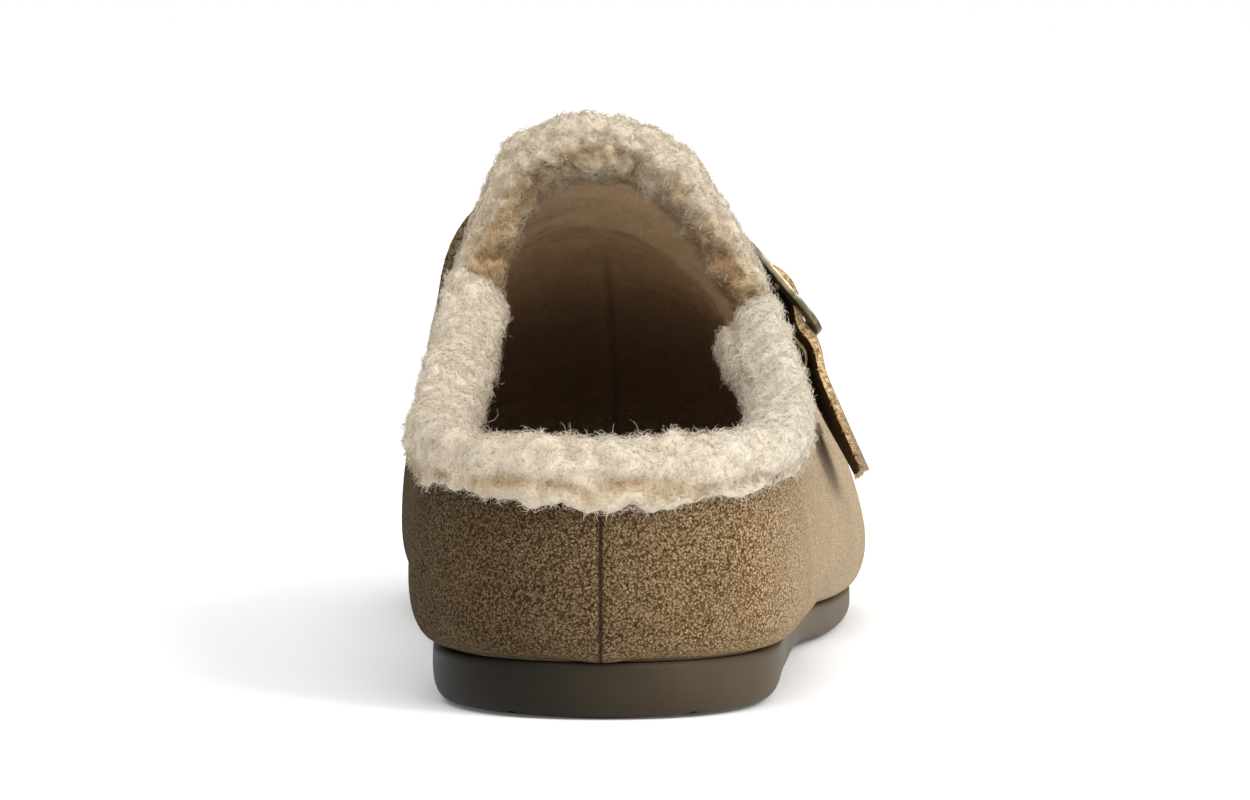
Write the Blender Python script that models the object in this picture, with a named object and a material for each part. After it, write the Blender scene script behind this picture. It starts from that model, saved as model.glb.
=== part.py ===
"""Fleece-lined house clog for a right foot, on a thin moulded sole, with a buckled instep strap.

The toe points along +Y, the outer (lateral) side is +X and the sole stands on Z = 0.
Every piece of the upper is read from one form, the last: form_point(way, across).
  way     0 at the middle of the heel, 1 at the toe tip, measured round the edge of the sole
  across  2 at the sole edge on the outer side, 1 at the widest line above it, 0 on the ridge over
          the foot, and -1 and -2 in the same way down the inner side
"""

import math
from collections import namedtuple

import bmesh
import bpy
from mathutils import Matrix, Vector

MM = 0.001
GAP = 0.3 * MM

# Driving sizes of the shoe
LENGTH = 248 * MM
HEEL_CAP = 36 * MM
HEEL_ROUNDNESS = 2.25
TOE_CAP = 66 * MM
TOE_ROUNDNESS = 2.15
WALL = 5.0 * MM
BULGE_HEIGHT = 10.0 * MM
TUCK = 0.3 * MM

# Half widths of the sole edge beside the shoe's middle line, and where that line runs
Outline = namedtuple("Outline", "station lateral medial middle")
OUTLINE = [
    Outline(0, 30.4, 30.4, 0.0),
    Outline(30, 30.4, 30.4, 0.0),
    Outline(74, 32.4, 28.3, 0.0),
    Outline(107, 35.6, 27.6, 0.0),
    Outline(138, 42.2, 33.0, 0.0),
    Outline(170, 45.8, 39.0, -0.4),
    Outline(200, 44.0, 40.5, -1.4),
    Outline(226, 39.5, 39.0, -2.4),
    Outline(248, 34.0, 35.5, -3.0),
]

# Height of the sole's upper edge and of its underside, and how far the upper bulges past that edge
Base = namedtuple("Base", "station edge_height underside lateral_bulge medial_bulge")
BASE = [
    Base(0, 10.0, 0.0, 4.8, 4.8),
    Base(30, 10.0, 0.0, 5.8, 5.2),
    Base(70, 9.4, 0.0, 8.0, 5.6),
    Base(105, 8.2, 1.4, 4.7, 5.2),
    Base(136, 7.2, 0.0, 4.4, 4.4),
    Base(188, 6.9, 0.0, 4.2, 4.2),
    Base(220, 8.8, 1.9, 4.4, 4.4),
    Base(248, 14.0, 6.6, 4.6, 4.6),
]

# The ridge over each section: where it lies, how high and how far to the inner side, how full the
# section is below it on either side (2 is an ellipse, more is squarer), and how the outer side leans in
Section = namedtuple(
    "Section", "station ridge_station ridge_height ridge_offset lateral_full medial_full lateral_lean"
)
SECTIONS = [
    Section(0, 34, 122, 0.0, 1.70, 1.70, 0.0),
    Section(40, 55, 116, -1.0, 1.68, 1.75, 0.0),
    Section(80, 80, 108.4, -3.2, 1.75, 2.20, 0.15),
    Section(112, 104, 99.6, -5.3, 2.70, 2.85, 0.25),
    Section(140, 128, 88, -5.2, 1.98, 2.60, 0.28),
    Section(170, 154, 78.0, -4.8, 1.98, 2.30, 0.16),
    Section(200, 180, 69.5, -4.2, 2.20, 2.25, 0.04),
    Section(226, 203, 60.5, -3.5, 2.30, 2.30, 0.0),
    Section(248, 222, 52.5, -3.0, 2.30, 2.30, 0.0),
]

# Height of the upper's top edge behind the throat
Topline = namedtuple("Topline", "station lateral medial")
TOPLINE = [
    Topline(0, 44.6, 44.6),
    Topline(20, 45.6, 45.6),
    Topline(45, 50.0, 50.5),
    Topline(75, 57.6, 60.0),
    Topline(98, 64.5, 69.5),
    Topline(106, 63.5, 68.5),
    Topline(114, 60.0, 64.0),
]

# Mesh density of the form
COLUMNS = 36
BULGE_ROWS = 3
WALL_ROWS = 4
VAMP_ROWS = 6
FINE = 480

THROAT_STATION = 112 * MM

# Fleece cuffs: pile outside and inside the wall, pile over its edge, and how far they turn down
Cuff = namedtuple("Cuff", "outer inner top flap")
HEEL_CUFF = Cuff(2.7, 4.8, 6.2, 7.0)
VAMP_CUFF = Cuff(3.4, 2.6, 4.6, 8.0)
HEEL_CUFF_FRONT = 103 * MM
SIDE_FLAP = 3.6
SIDE_FLAP_STATION = 40 * MM
FRONT_PILE = 2.4
FRONT_TRIM = 0.8
FRONT_PILE_START = 66 * MM
FRONT_PILE_FADE = 30 * MM
VAMP_CUFF_FOOT = {1: 0.60, -1: 0.60}
VAMP_CUFF_END = 0.04
VAMP_CUFF_STEPS = 14
VAMP_CUFF_TRIM = 2.4
VAMP_TRIM_START = 0.24
VAMP_TRIM_FADE = 0.20
CUFF_END = 3.0 * MM
END_SWELL = 0.45
NEAR_END_SWELL = 0.82
CUFF_PLAY = 0.45 * MM
MAX_FLAP_ACROSS = 1.5

# Sole and insole
SOLE_SIDE = [(0.7, 1.0), (0.9, 0.55), (0.4, 0.26), (-0.6, 0.09), (-2.4, 0.0)]
INSOLE_THICKNESS = 5.0 * MM
INSOLE_RINGS = [(5.4, 0.0), (5.6, 1.15), (8.0, 1.3), (13.0, 1.1), (20.0, 1.0)]

# Instep strap: its middle lies at this station of the ridge and leans back down both sides
STRAP_STATION = 147 * MM
STRAP_LEAN = 20 * MM
STRAP_WIDTH = 26 * MM
STRAP_THICKNESS = 1.7 * MM
STRAP_SKEW = 0.055
STRAP_FOOT = -1.5
STRAP_END = 0.90
STRAP_LANES = 6
CREST_FALL = 1.25
STRAP_SLACK = 2.4 * MM
SLACK_MIDDLE = -0.45
SLACK_REACH = 0.36
TIP_LENGTH = 0.10
TIP_STEPS = 8
TIP_FLARE = 2.2 * MM
TIP_FLARE_REACH = 0.07
TIP_ROUNDNESS = 2.4
TIP_END_WIDTH = 0.1
TAIL_START = 0.52
TAIL_TOP = 0.655
TAIL_FADE = 0.16
TAIL_SLOPE = math.tan(math.radians(3.6))

# The tab that holds the buckle, and the buckle
TAB_THICKNESS = 0.6 * MM
TAB_FOOT = 0.80
TAB_STEPS = 16
TAB_NARROW = 0.62
TAB_REACH = 0.08
OVER_TAB_FADE = 0.1
FOLD_START = math.radians(-62)
FOLD_SWEEP = math.radians(236)
FOLD_STEPS = 10
BUCKLE_ACROSS = 0.535
BUCKLE_LENGTH = 24.0 * MM
BUCKLE_SIDE = 3.2 * MM
BUCKLE_END = 3.0 * MM
BUCKLE_PLAY = 0.8 * MM
BUCKLE_THICKNESS = 1.4 * MM
BUCKLE_CORNER = 4.5 * MM
BUCKLE_HEIGHT = 4.5 * MM
BUCKLE_TILT = math.radians(4.0)
BUCKLE_TURN = math.radians(0.5)
BUCKLE_ZONE = 12.4 * MM
BUCKLE_FADE = 6 * MM
BUCKLE_REACH = 0.16
BUCKLE_BEVEL = 0.22
BAR_RADIUS = 0.6 * MM
BAR_DROP = 0.9 * MM
PRONG_RADIUS = 0.75 * MM
PRONG_HOLE_RADIUS = 1.25 * MM
PRONG_SLOT = 4.2 * MM
PRONG_SLOT_DEPTH = 9 * MM
PRONG_HOLE_DEPTH = 16 * MM
PRONG_SWEEP = math.radians(210)
PRONG_STEPS = 8
PRONG_ARCH = 0.5 * MM

# Colours are linear
Finish = namedtuple("Finish", "colour roughness metallic")
SUEDE = Finish((0.235, 0.160, 0.090), 0.95, 0.0)
FLEECE = Finish((0.680, 0.590, 0.450), 1.0, 0.0)
RUBBER = Finish((0.118, 0.100, 0.070), 0.6, 0.0)
FOOTBED = Finish((0.045, 0.028, 0.018), 0.95, 0.0)
BRASS = Finish((0.330, 0.260, 0.130), 0.32, 1.0)


def read(table, column, station):
    """A table's column at a station in metres, on a smooth curve through its rows, in metres."""
    at = station / MM
    rows = [(row.station, getattr(row, column)) for row in table]
    last = len(rows) - 1
    k = 0
    while k < last - 1 and at > rows[k + 1][0]:
        k += 1

    def slope(j):
        low, high = rows[max(j - 1, 0)], rows[min(j + 1, last)]
        return (high[1] - low[1]) / (high[0] - low[0])

    (s0, v0), (s1, v1) = rows[k], rows[k + 1]
    span = s1 - s0
    t = min(max((at - s0) / span, 0.0), 1.0)
    steady = v0 == v1
    m0, m1 = (0.0, 0.0) if steady else (slope(k) * span, slope(k + 1) * span)
    value = (
        v0 * (2 * t**3 - 3 * t**2 + 1)
        + m0 * (t**3 - 2 * t**2 + t)
        + v1 * (3 * t**2 - 2 * t**3)
        + m1 * (t**3 - t**2)
    )
    return value * MM


def read_plain(table, column, station):
    """The same for a column that has no unit."""
    return read(table, column, station) / MM


def half_width(station, side):
    """From the middle line to the sole edge, closed by round caps at heel and toe."""
    width = read(OUTLINE, side, station)
    if station < HEEL_CAP:
        share, power = 1 - station / HEEL_CAP, HEEL_ROUNDNESS
    elif station > LENGTH - TOE_CAP:
        share, power = 1 - (LENGTH - station) / TOE_CAP, TOE_ROUNDNESS
    else:
        return width
    return width * max(0.0, 1 - share**power) ** (1 / power)


def edge_at(station, side):
    sign = 1 if side == "lateral" else -1
    return Vector((read(OUTLINE, "middle", station) + sign * half_width(station, side), station))


def measure_way():
    """Stations, and the share of the way round the edge at each, the mean of both sides."""
    stations = [LENGTH * (1 - math.cos(math.pi * k / FINE)) / 2 for k in range(FINE + 1)]
    lengths = [0.0]
    for low, high in zip(stations, stations[1:]):
        both = sum((edge_at(high, side) - edge_at(low, side)).length for side in ("lateral", "medial"))
        lengths.append(lengths[-1] + both)
    return stations, [length / lengths[-1] for length in lengths]


STATIONS, WAYS = measure_way()


def between(value, known, wanted):
    """Linear reading of wanted where known, which rises, has this value."""
    low, high = 0, len(known) - 1
    while high - low > 1:
        middle = (low + high) // 2
        if known[middle] <= value:
            low = middle
        else:
            high = middle
    t = (value - known[low]) / (known[high] - known[low])
    return wanted[low] + t * (wanted[high] - wanted[low])


def station_at(way):
    return between(way, WAYS, STATIONS)


def way_at(station):
    return between(station, STATIONS, WAYS)


def unfold(way, across):
    """Past the heel or the toe the way goes on along the other side."""
    if way < 0:
        return -way, -across
    if way > 1:
        return 2 - way, -across
    return way, across


def sole_edge(way, side):
    """A point of the sole edge and the level outward direction there."""
    step = 1e-3
    sign = 1 if side == "lateral" else -1

    def at(w):
        w, s = unfold(w, sign)
        return edge_at(station_at(w), "lateral" if s > 0 else "medial")

    along = at(way + step) - at(way - step)
    out = Vector((along.y, -along.x)) * sign
    return at(way), out.normalized()


def form_point(way, across, inset=0.0):
    """A point of the last's surface, or of a form that is smaller all over by inset."""
    way, across = unfold(way, across)
    side = "lateral" if across >= 0 else "medial"
    station = station_at(way)
    edge, out = sole_edge(way, side)
    bulge = read(BASE, side + "_bulge", station)
    foot = read(BASE, "edge_height", station) + TUCK
    widest = foot + BULGE_HEIGHT
    if abs(across) > 1:
        turn = (2 - abs(across)) * math.pi / 2
        place = edge + out * (bulge * math.sin(turn) - inset)
        return Vector((place.x, place.y, widest - BULGE_HEIGHT * math.cos(turn)))
    rim = edge + out * (bulge - inset)
    ridge = Vector((read(SECTIONS, "ridge_offset", station), read(SECTIONS, "ridge_station", station)))
    top = read(SECTIONS, "ridge_height", station) - inset
    step = 2 * MM
    ahead, behind = min(station + step, LENGTH), max(station - step, 0.0)
    slope = (read(SECTIONS, "ridge_height", ahead) - read(SECTIONS, "ridge_height", behind)) / (
        read(SECTIONS, "ridge_station", ahead) - read(SECTIONS, "ridge_station", behind)
    )
    full = read_plain(SECTIONS, side + "_full", station)
    turn = abs(across) * math.pi / 2
    spread = math.sin(turn) ** (2 / full)
    rise = max(math.cos(turn), 0.0) ** (2 / full)
    lean = read_plain(SECTIONS, "lateral_lean", station) if side == "lateral" else 0.0
    place = ridge + (rim - ridge) * spread * (1 - lean * rise)
    drop = top + slope * (rim.y - ridge.y) - widest
    return Vector((place.x, place.y, top + slope * (place.y - ridge.y) - drop * (1 - rise)))


def form_frame(way, across, inset=0.0):
    """The point, the outward normal, and the unit directions toe-ward and down the outer side."""
    step = 1e-3
    toward = form_point(way + step, across, inset) - form_point(way - step, across, inset)
    down = form_point(way, across + step, inset) - form_point(way, across - step, inset)
    normal = down.cross(toward).normalized()
    return form_point(way, across, inset), normal, toward.normalized(), down.normalized()


def topline_across(way, sign):
    """How far across the form its top edge lies on the given side."""
    height = read(TOPLINE, "lateral" if sign > 0 else "medial", station_at(way))
    low, high = 0.02, 1.0
    for _ in range(40):
        middle = (low + high) / 2
        if form_point(way, sign * middle).z > height:
            low = middle
        else:
            high = middle
    return (low + high) / 2


THROAT_COLUMN = round(way_at(THROAT_STATION) * COLUMNS)
THROAT_WAY = THROAT_COLUMN / COLUMNS


def finish_material(name, finish):
    material = bpy.data.materials.new(name)
    material.use_nodes = True
    shader = material.node_tree.nodes["Principled BSDF"]
    shader.inputs["Base Color"].default_value = (*finish.colour, 1.0)
    shader.inputs["Roughness"].default_value = finish.roughness
    shader.inputs["Metallic"].default_value = finish.metallic
    material.diffuse_color = (*finish.colour, 1.0)
    return material


def add_points(mesh, points):
    return [mesh.verts.new(point) for point in points]


def bridge(mesh, first, second, closed):
    """Quads between two rows of the same number of vertices."""
    count = len(first)
    for k in range(count if closed else count - 1):
        following = (k + 1) % count
        mesh.faces.new((first[k], first[following], second[following], second[k]))


def close_across(mesh, ring):
    """Fills a ring, which runs heel, outer side, toe, inner side, by strips from side to side."""
    half = len(ring) // 2
    for k in range(half):
        outer = (ring[k], ring[k + 1])
        inner = (ring[-k - 1] if k + 1 < half else ring[half], ring[-k] if k else ring[0])
        corners = [*outer, *inner]
        mesh.faces.new([v for n, v in enumerate(corners) if v not in corners[:n]])


def settle(mesh):
    """Joins the points that coincide and turns the faces outwards."""
    bmesh.ops.remove_doubles(mesh, verts=mesh.verts, dist=1e-6)
    bmesh.ops.dissolve_degenerate(mesh, edges=mesh.edges, dist=1e-7)
    bmesh.ops.recalc_face_normals(mesh, faces=mesh.faces)


def part_from(mesh, name, material, collection, sharp_angle=40):
    data = bpy.data.meshes.new(name)
    mesh.to_mesh(data)
    mesh.free()
    data.materials.append(material)
    data.shade_smooth()
    data.set_sharp_from_angle(angle=math.radians(sharp_angle))
    made = bpy.data.objects.new(name, data)
    collection.objects.link(made)
    return made


def ring_columns():
    """Each column round the form as its way and side: heel, outer side, toe, inner side."""
    outer = [(k / COLUMNS, 1) for k in range(COLUMNS + 1)]
    inner = [(k / COLUMNS, -1) for k in range(COLUMNS - 1, 0, -1)]
    return outer + inner


def vamp_columns():
    outer = [(k / COLUMNS, 1) for k in range(THROAT_COLUMN, COLUMNS + 1)]
    inner = [(k / COLUMNS, -1) for k in range(COLUMNS - 1, THROAT_COLUMN - 1, -1)]
    return outer + inner


def wall_top(way, sign):
    """The upper's top edge behind the throat, and the same level carried on round the vamp."""
    return topline_across(min(way, THROAT_WAY), sign)


def upper_rows(mesh, inset):
    """The rows of one face of the upper: closed rows up to its top edge, then rows over the vamp."""
    columns = ring_columns()
    tops = [wall_top(way, sign) for way, sign in columns]
    rows = []
    for k in range(BULGE_ROWS):
        level = 2 - k / BULGE_ROWS
        rows.append([form_point(way, sign * level, inset) for way, sign in columns])
    for k in range(WALL_ROWS + 1):
        share = k / WALL_ROWS
        rows.append(
            [
                form_point(way, sign * (1 - (1 - top) * share), inset)
                for (way, sign), top in zip(columns, tops)
            ]
        )
    band = [add_points(mesh, row) for row in rows]
    covered = [columns.index(column) for column in vamp_columns()]
    vamp = [[band[-1][k] for k in covered]]
    for row in range(1, VAMP_ROWS + 1):
        share = 1 - row / VAMP_ROWS
        points = [form_point(columns[k][0], columns[k][1] * tops[k] * share, inset) for k in covered]
        vamp.append(add_points(mesh, points))
    return band, vamp


def make_upper(material, collection):
    """Suede and fleece lining as one wall, open at the foot opening and over the sole."""
    mesh = bmesh.new()
    faces = [upper_rows(mesh, 0.0), upper_rows(mesh, WALL)]
    for band, vamp in faces:
        for low, high in zip(band, band[1:]):
            bridge(mesh, low, high, closed=True)
        for low, high in zip(vamp, vamp[1:]):
            bridge(mesh, low, high, closed=False)
    (outer_band, outer_vamp), (inner_band, inner_vamp) = faces
    bridge(mesh, outer_band[0], inner_band[0], closed=True)
    behind = list(range(-THROAT_COLUMN, THROAT_COLUMN + 1))
    bridge(mesh, [outer_band[-1][k] for k in behind], [inner_band[-1][k] for k in behind], closed=False)
    for end in (0, -1):
        bridge(mesh, [row[end] for row in outer_vamp], [row[end] for row in inner_vamp], closed=False)
    settle(mesh)
    return part_from(mesh, "upper", material, collection)


def make_outsole(material, collection):
    """One moulded sole: rounded lower edge, shallow waist and toe spring."""
    mesh = bmesh.new()
    rings = []
    for offset, share in SOLE_SIDE:
        points = []
        for way, sign in ring_columns():
            edge, out = sole_edge(way, "lateral" if sign > 0 else "medial")
            station = station_at(way)
            low, high = read(BASE, "underside", station), read(BASE, "edge_height", station)
            place = edge + out * (offset * MM)
            points.append((place.x, place.y, low + (high - low) * share))
        rings.append(add_points(mesh, points))
    for low, high in zip(rings, rings[1:]):
        bridge(mesh, low, high, closed=True)
    close_across(mesh, rings[0])
    close_across(mesh, rings[-1])
    settle(mesh)
    return part_from(mesh, "outsole", material, collection)


def make_insole(material, collection):
    """A soft footbed inside the wall, a little dished."""
    mesh = bmesh.new()
    rings = []
    for inset, share in INSOLE_RINGS:
        points = []
        for way, sign in ring_columns():
            edge, out = sole_edge(way, "lateral" if sign > 0 else "medial")
            height = read(BASE, "edge_height", station_at(way)) + GAP + INSOLE_THICKNESS * share
            place = edge - out * (inset * MM)
            points.append((place.x, place.y, height))
        rings.append(add_points(mesh, points))
    for low, high in zip(rings, rings[1:]):
        bridge(mesh, low, high, closed=True)
    close_across(mesh, rings[0])
    close_across(mesh, rings[-1])
    settle(mesh)
    return part_from(mesh, "insole", material, collection)


def cuff_loop(outer, inner, beyond, cuff, swell):
    """One section of a cuff: a U of pile folded over the wall's edge.

    outer and inner give a point of the wall's two faces and the direction away from the wall, at a
    distance below the edge. beyond points past the edge.
    """

    def on(face, distance, pile):
        point, away = face(distance)
        return point + away * max(pile * swell, CUFF_PLAY)

    flap = cuff.flap * MM
    out_pile, in_pile, top = cuff.outer * MM, cuff.inner * MM, cuff.top * MM * swell
    crown = (outer(0.0)[0] + inner(0.0)[0]) / 2 + beyond * max(top, 2 * CUFF_PLAY)
    return [
        on(outer, flap, 0.0),
        on(outer, flap * 1.12, out_pile * 0.55),
        on(outer, flap * 0.72, out_pile * 0.98),
        on(outer, flap * 0.30, out_pile * 1.06),
        on(outer, 0.0, out_pile * 0.86) + beyond * top * 0.55,
        crown,
        on(inner, 0.0, in_pile * 0.86) + beyond * top * 0.55,
        on(inner, flap * 0.30, in_pile * 1.06),
        on(inner, flap * 0.72, in_pile * 0.98),
        on(inner, flap * 1.12, in_pile * 0.55),
        on(inner, flap, 0.0),
        on(inner, flap * 0.5, 0.0),
        on(inner, 0.0, 0.0) + beyond * CUFF_PLAY,
        on(outer, 0.0, 0.0) + beyond * CUFF_PLAY,
        on(outer, flap * 0.5, 0.0),
    ]


def make_cuff(loops, name, material, collection):
    mesh = bmesh.new()
    rings = [add_points(mesh, loop) for loop in loops]
    for low, high in zip(rings, rings[1:]):
        bridge(mesh, low, high, closed=True)
    mesh.faces.new(rings[0])
    mesh.faces.new(reversed(rings[-1]))
    settle(mesh)
    return part_from(mesh, name, material, collection)


def heel_cuff_loop(way, sign, swell):
    """The heel cuff's section where the top edge lies at this way round, on this side."""
    top = topline_across(way, sign)

    def face(inset, away):
        def at(distance):
            edge = form_point(way, sign * top, inset)
            low, high = top, MAX_FLAP_ACROSS
            for _ in range(24):
                level = (low + high) / 2
                if (form_point(way, sign * level, inset) - edge).length < distance:
                    low = level
                else:
                    high = level
            point, normal, _, _ = form_frame(way, sign * low, inset)
            return point, normal * away

        return at

    _, _, _, down = form_frame(way, sign * top)
    beyond = (down * -sign + Vector((0, 0, 1))).normalized()
    station = station_at(way)
    front = soft((station - FRONT_PILE_START) / FRONT_PILE_FADE) if sign > 0 else 0.0
    beside = math.sqrt(min(station / SIDE_FLAP_STATION, 1.0))
    cuff = HEEL_CUFF._replace(
        outer=HEEL_CUFF.outer - FRONT_TRIM * front,
        inner=HEEL_CUFF.inner + FRONT_PILE * front,
        flap=HEEL_CUFF.flap + (SIDE_FLAP - HEEL_CUFF.flap) * beside,
    )
    return cuff_loop(face(0.0, 1), face(WALL, -1), beyond, cuff, swell)


def heel_cuff_loops():
    """From the inner front end round the heel to the outer front end, with rounded ends."""
    front = way_at(HEEL_CUFF_FRONT)
    count = math.floor(front * COLUMNS)
    ends = [
        (way_at(HEEL_CUFF_FRONT + CUFF_END), END_SWELL),
        (way_at(HEEL_CUFF_FRONT + CUFF_END / 2), NEAR_END_SWELL),
        (front, 1.0),
    ]
    stops = [(-way, swell) for way, swell in ends]
    stops += [(k / COLUMNS, 1.0) for k in range(-count, count + 1)]
    stops += reversed(ends)
    return [heel_cuff_loop(abs(way), 1 if way >= 0 else -1, swell) for way, swell in stops]


def vamp_cuff_loop(across, swell):
    """The vamp cuff's section at this place along the throat, thinner where the strap passes it."""
    trim = VAMP_CUFF_TRIM * soft((abs(across) - VAMP_TRIM_START) / VAMP_TRIM_FADE)
    cuff = VAMP_CUFF._replace(outer=VAMP_CUFF.outer - trim)
    pace = (form_point(THROAT_WAY + 0.02, across) - form_point(THROAT_WAY, across)).length / 0.02

    def face(inset, away):
        def at(distance):
            point, normal, _, _ = form_frame(THROAT_WAY + distance / pace, across, inset)
            return point, normal * away

        return at

    _, _, toward, _ = form_frame(THROAT_WAY, across)
    return cuff_loop(face(0.0, 1), face(WALL, -1), -toward, cuff, swell)


def vamp_cuff_loops():
    """From the inner foot of the throat over the ridge to its outer foot."""
    sides = {}
    for sign, foot in VAMP_CUFF_FOOT.items():
        stops = [(foot * k / VAMP_CUFF_STEPS, 1.0) for k in range(VAMP_CUFF_STEPS + 1)]
        stops.append((foot + VAMP_CUFF_END / 2, NEAR_END_SWELL))
        stops.append((foot + VAMP_CUFF_END, END_SWELL))
        sides[sign] = [(sign * across, swell) for across, swell in stops]
    stops = sides[-1][:0:-1] + sides[1]
    return [vamp_cuff_loop(across, swell) for across, swell in stops]


def soft(share):
    """0 to 1 with level ends."""
    share = min(max(share, 0.0), 1.0)
    return share * share * (3 - 2 * share)


def strap_place(stop, lane, narrow=1.0):
    """Way and across of a point: stop runs along the strap, lane from its back edge to its front."""
    middle = STRAP_STATION - STRAP_LEAN * min(abs(stop), 1.0)
    station = middle + (lane - 0.5) * STRAP_WIDTH * narrow
    skew = STRAP_SKEW * math.sin(math.pi * stop) if abs(stop) < 1 else 0.0
    return way_at(station), stop - skew * (lane - 0.5) * narrow


def buckle_axes():
    """The buckle's own axes at the centre bar: across the strap, down the strap, and out of it."""
    point, normal, _, _ = form_frame(*strap_place(BUCKLE_ACROSS, 0.5))
    step = 0.02
    above = form_point(*strap_place(BUCKLE_ACROSS - step, 0.5))
    below = form_point(*strap_place(BUCKLE_ACROSS + step, 0.5))
    down = (below - above).normalized()
    width = down.cross(normal).normalized()
    normal = width.cross(down).normalized()
    axes = Matrix((width, down, normal)).transposed().to_4x4()
    axes.translation = point + normal * BUCKLE_HEIGHT
    return axes @ Matrix.Rotation(BUCKLE_TURN, 4, "Y") @ Matrix.Rotation(BUCKLE_TILT, 4, "X")


BUCKLE_AXES = buckle_axes()
BUCKLE_INVERSE = BUCKLE_AXES.inverted()
BAR_AXES = BUCKLE_AXES @ Matrix.Translation((0.0, 0.0, -BAR_DROP))


def strap_profile(down):
    """Underside of the strap in the buckle's axes: below both ends of the frame and over the bar."""
    low = -(BUCKLE_THICKNESS / 2 + 1.5 * GAP + STRAP_THICKNESS)
    crest = BAR_RADIUS + GAP + TAB_THICKNESS + GAP - BAR_DROP
    reach = BUCKLE_LENGTH / 2 - BUCKLE_END - 2 * GAP
    near = max(0.0, 1 - (down / reach) ** 2)
    return low + (crest - low) * near**CREST_FALL


def strap_lift(stop):
    """How far the strap stands off the upper away from the buckle."""
    lift = GAP + (TAB_THICKNESS + 2 * GAP) * soft((stop - BUCKLE_ACROSS) / OVER_TAB_FADE)
    lift += STRAP_SLACK * soft(1 - abs(stop - SLACK_MIDDLE) / SLACK_REACH)
    return lift + TIP_FLARE * soft((stop - STRAP_END + TIP_FLARE_REACH) / TIP_FLARE_REACH)


def in_buckle(point, flat):
    """Draws a point near the buckle on to the height in its axes that flat gives for its place."""
    local = BUCKLE_INVERSE @ point
    share = soft((BUCKLE_ZONE + BUCKLE_FADE - abs(local.y)) / BUCKLE_FADE)
    local.z += (flat(local.y) - local.z) * share
    return BUCKLE_AXES @ local


def off_form(stop, lane, narrow, height):
    point, normal, _, _ = form_frame(*strap_place(stop, lane, narrow))
    return point + normal * (strap_lift(stop) + height)


def at_buckle(point, height):
    return in_buckle(point, lambda down: strap_profile(down) + height)


def hang_straight(stop, lane, point, height):
    """Below the buckle the strap runs straight to its tip and stands off the side behind it."""
    leave = at_buckle(off_form(TAIL_TOP, lane, 1.0, height), height)
    front = off_form(STRAP_END, 1.0, 1.0, height)
    foot = off_form(STRAP_END, lane, 1.0, height)
    foot.x = max(foot.x, front.x - TAIL_SLOPE * (front.y - foot.y))
    share = (leave.z - point.z) / (leave.z - foot.z)
    stand_off = max(0.0, leave.x + (foot.x - leave.x) * share - point.x)
    return point + Vector((stand_off * soft((stop - TAIL_START) / TAIL_FADE), 0.0, 0.0))


def strap_point(stop, lane, height):
    """A point of the strap, narrowed to a round tip at its free end."""
    short = max(0.0, (stop - (STRAP_END - TIP_LENGTH)) / TIP_LENGTH)
    rounding = math.sqrt(max(0.0, 1 - short**TIP_ROUNDNESS))
    narrow = rounding + (1 - rounding) * TIP_END_WIDTH
    point = hang_straight(stop, lane, off_form(stop, lane, narrow, height), height)
    return at_buckle(point, height) if stop > 0 else point


def make_band(name, rows_low, rows_high, material, collection):
    """A flat band: two grids of points, a thickness apart, closed round their rim."""
    mesh = bmesh.new()
    grids = [[add_points(mesh, row) for row in rows] for rows in (rows_low, rows_high)]
    for grid in grids:
        for low, high in zip(grid, grid[1:]):
            bridge(mesh, low, high, closed=False)
    under, over = grids
    bridge(mesh, under[0], over[0], closed=False)
    bridge(mesh, under[-1], over[-1], closed=False)
    for end in (0, -1):
        bridge(mesh, [row[end] for row in under], [row[end] for row in over], closed=False)
    settle(mesh)
    return part_from(mesh, name, material, collection)


def make_strap(material, collection):
    tip = STRAP_END - TIP_LENGTH
    runs = [
        (STRAP_FOOT, 18),
        (0.0, 6),
        (BUCKLE_ACROSS - BUCKLE_REACH, 24),
        (BUCKLE_ACROSS + BUCKLE_REACH, 4),
        (tip, 0),
    ]
    stops = []
    for (start, steps), (end, _) in zip(runs, runs[1:]):
        stops += [start + (end - start) * k / steps for k in range(steps)]
    stops += [tip + TIP_LENGTH * math.sin(math.pi / 2 * k / TIP_STEPS) for k in range(TIP_STEPS + 1)]
    lanes = [k / STRAP_LANES for k in range(STRAP_LANES + 1)]
    low = [[strap_point(stop, lane, 0.0) for lane in lanes] for stop in stops]
    high = [[strap_point(stop, lane, STRAP_THICKNESS) for lane in lanes] for stop in stops]
    return make_band("instep_strap", low, high, material, collection)


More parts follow.
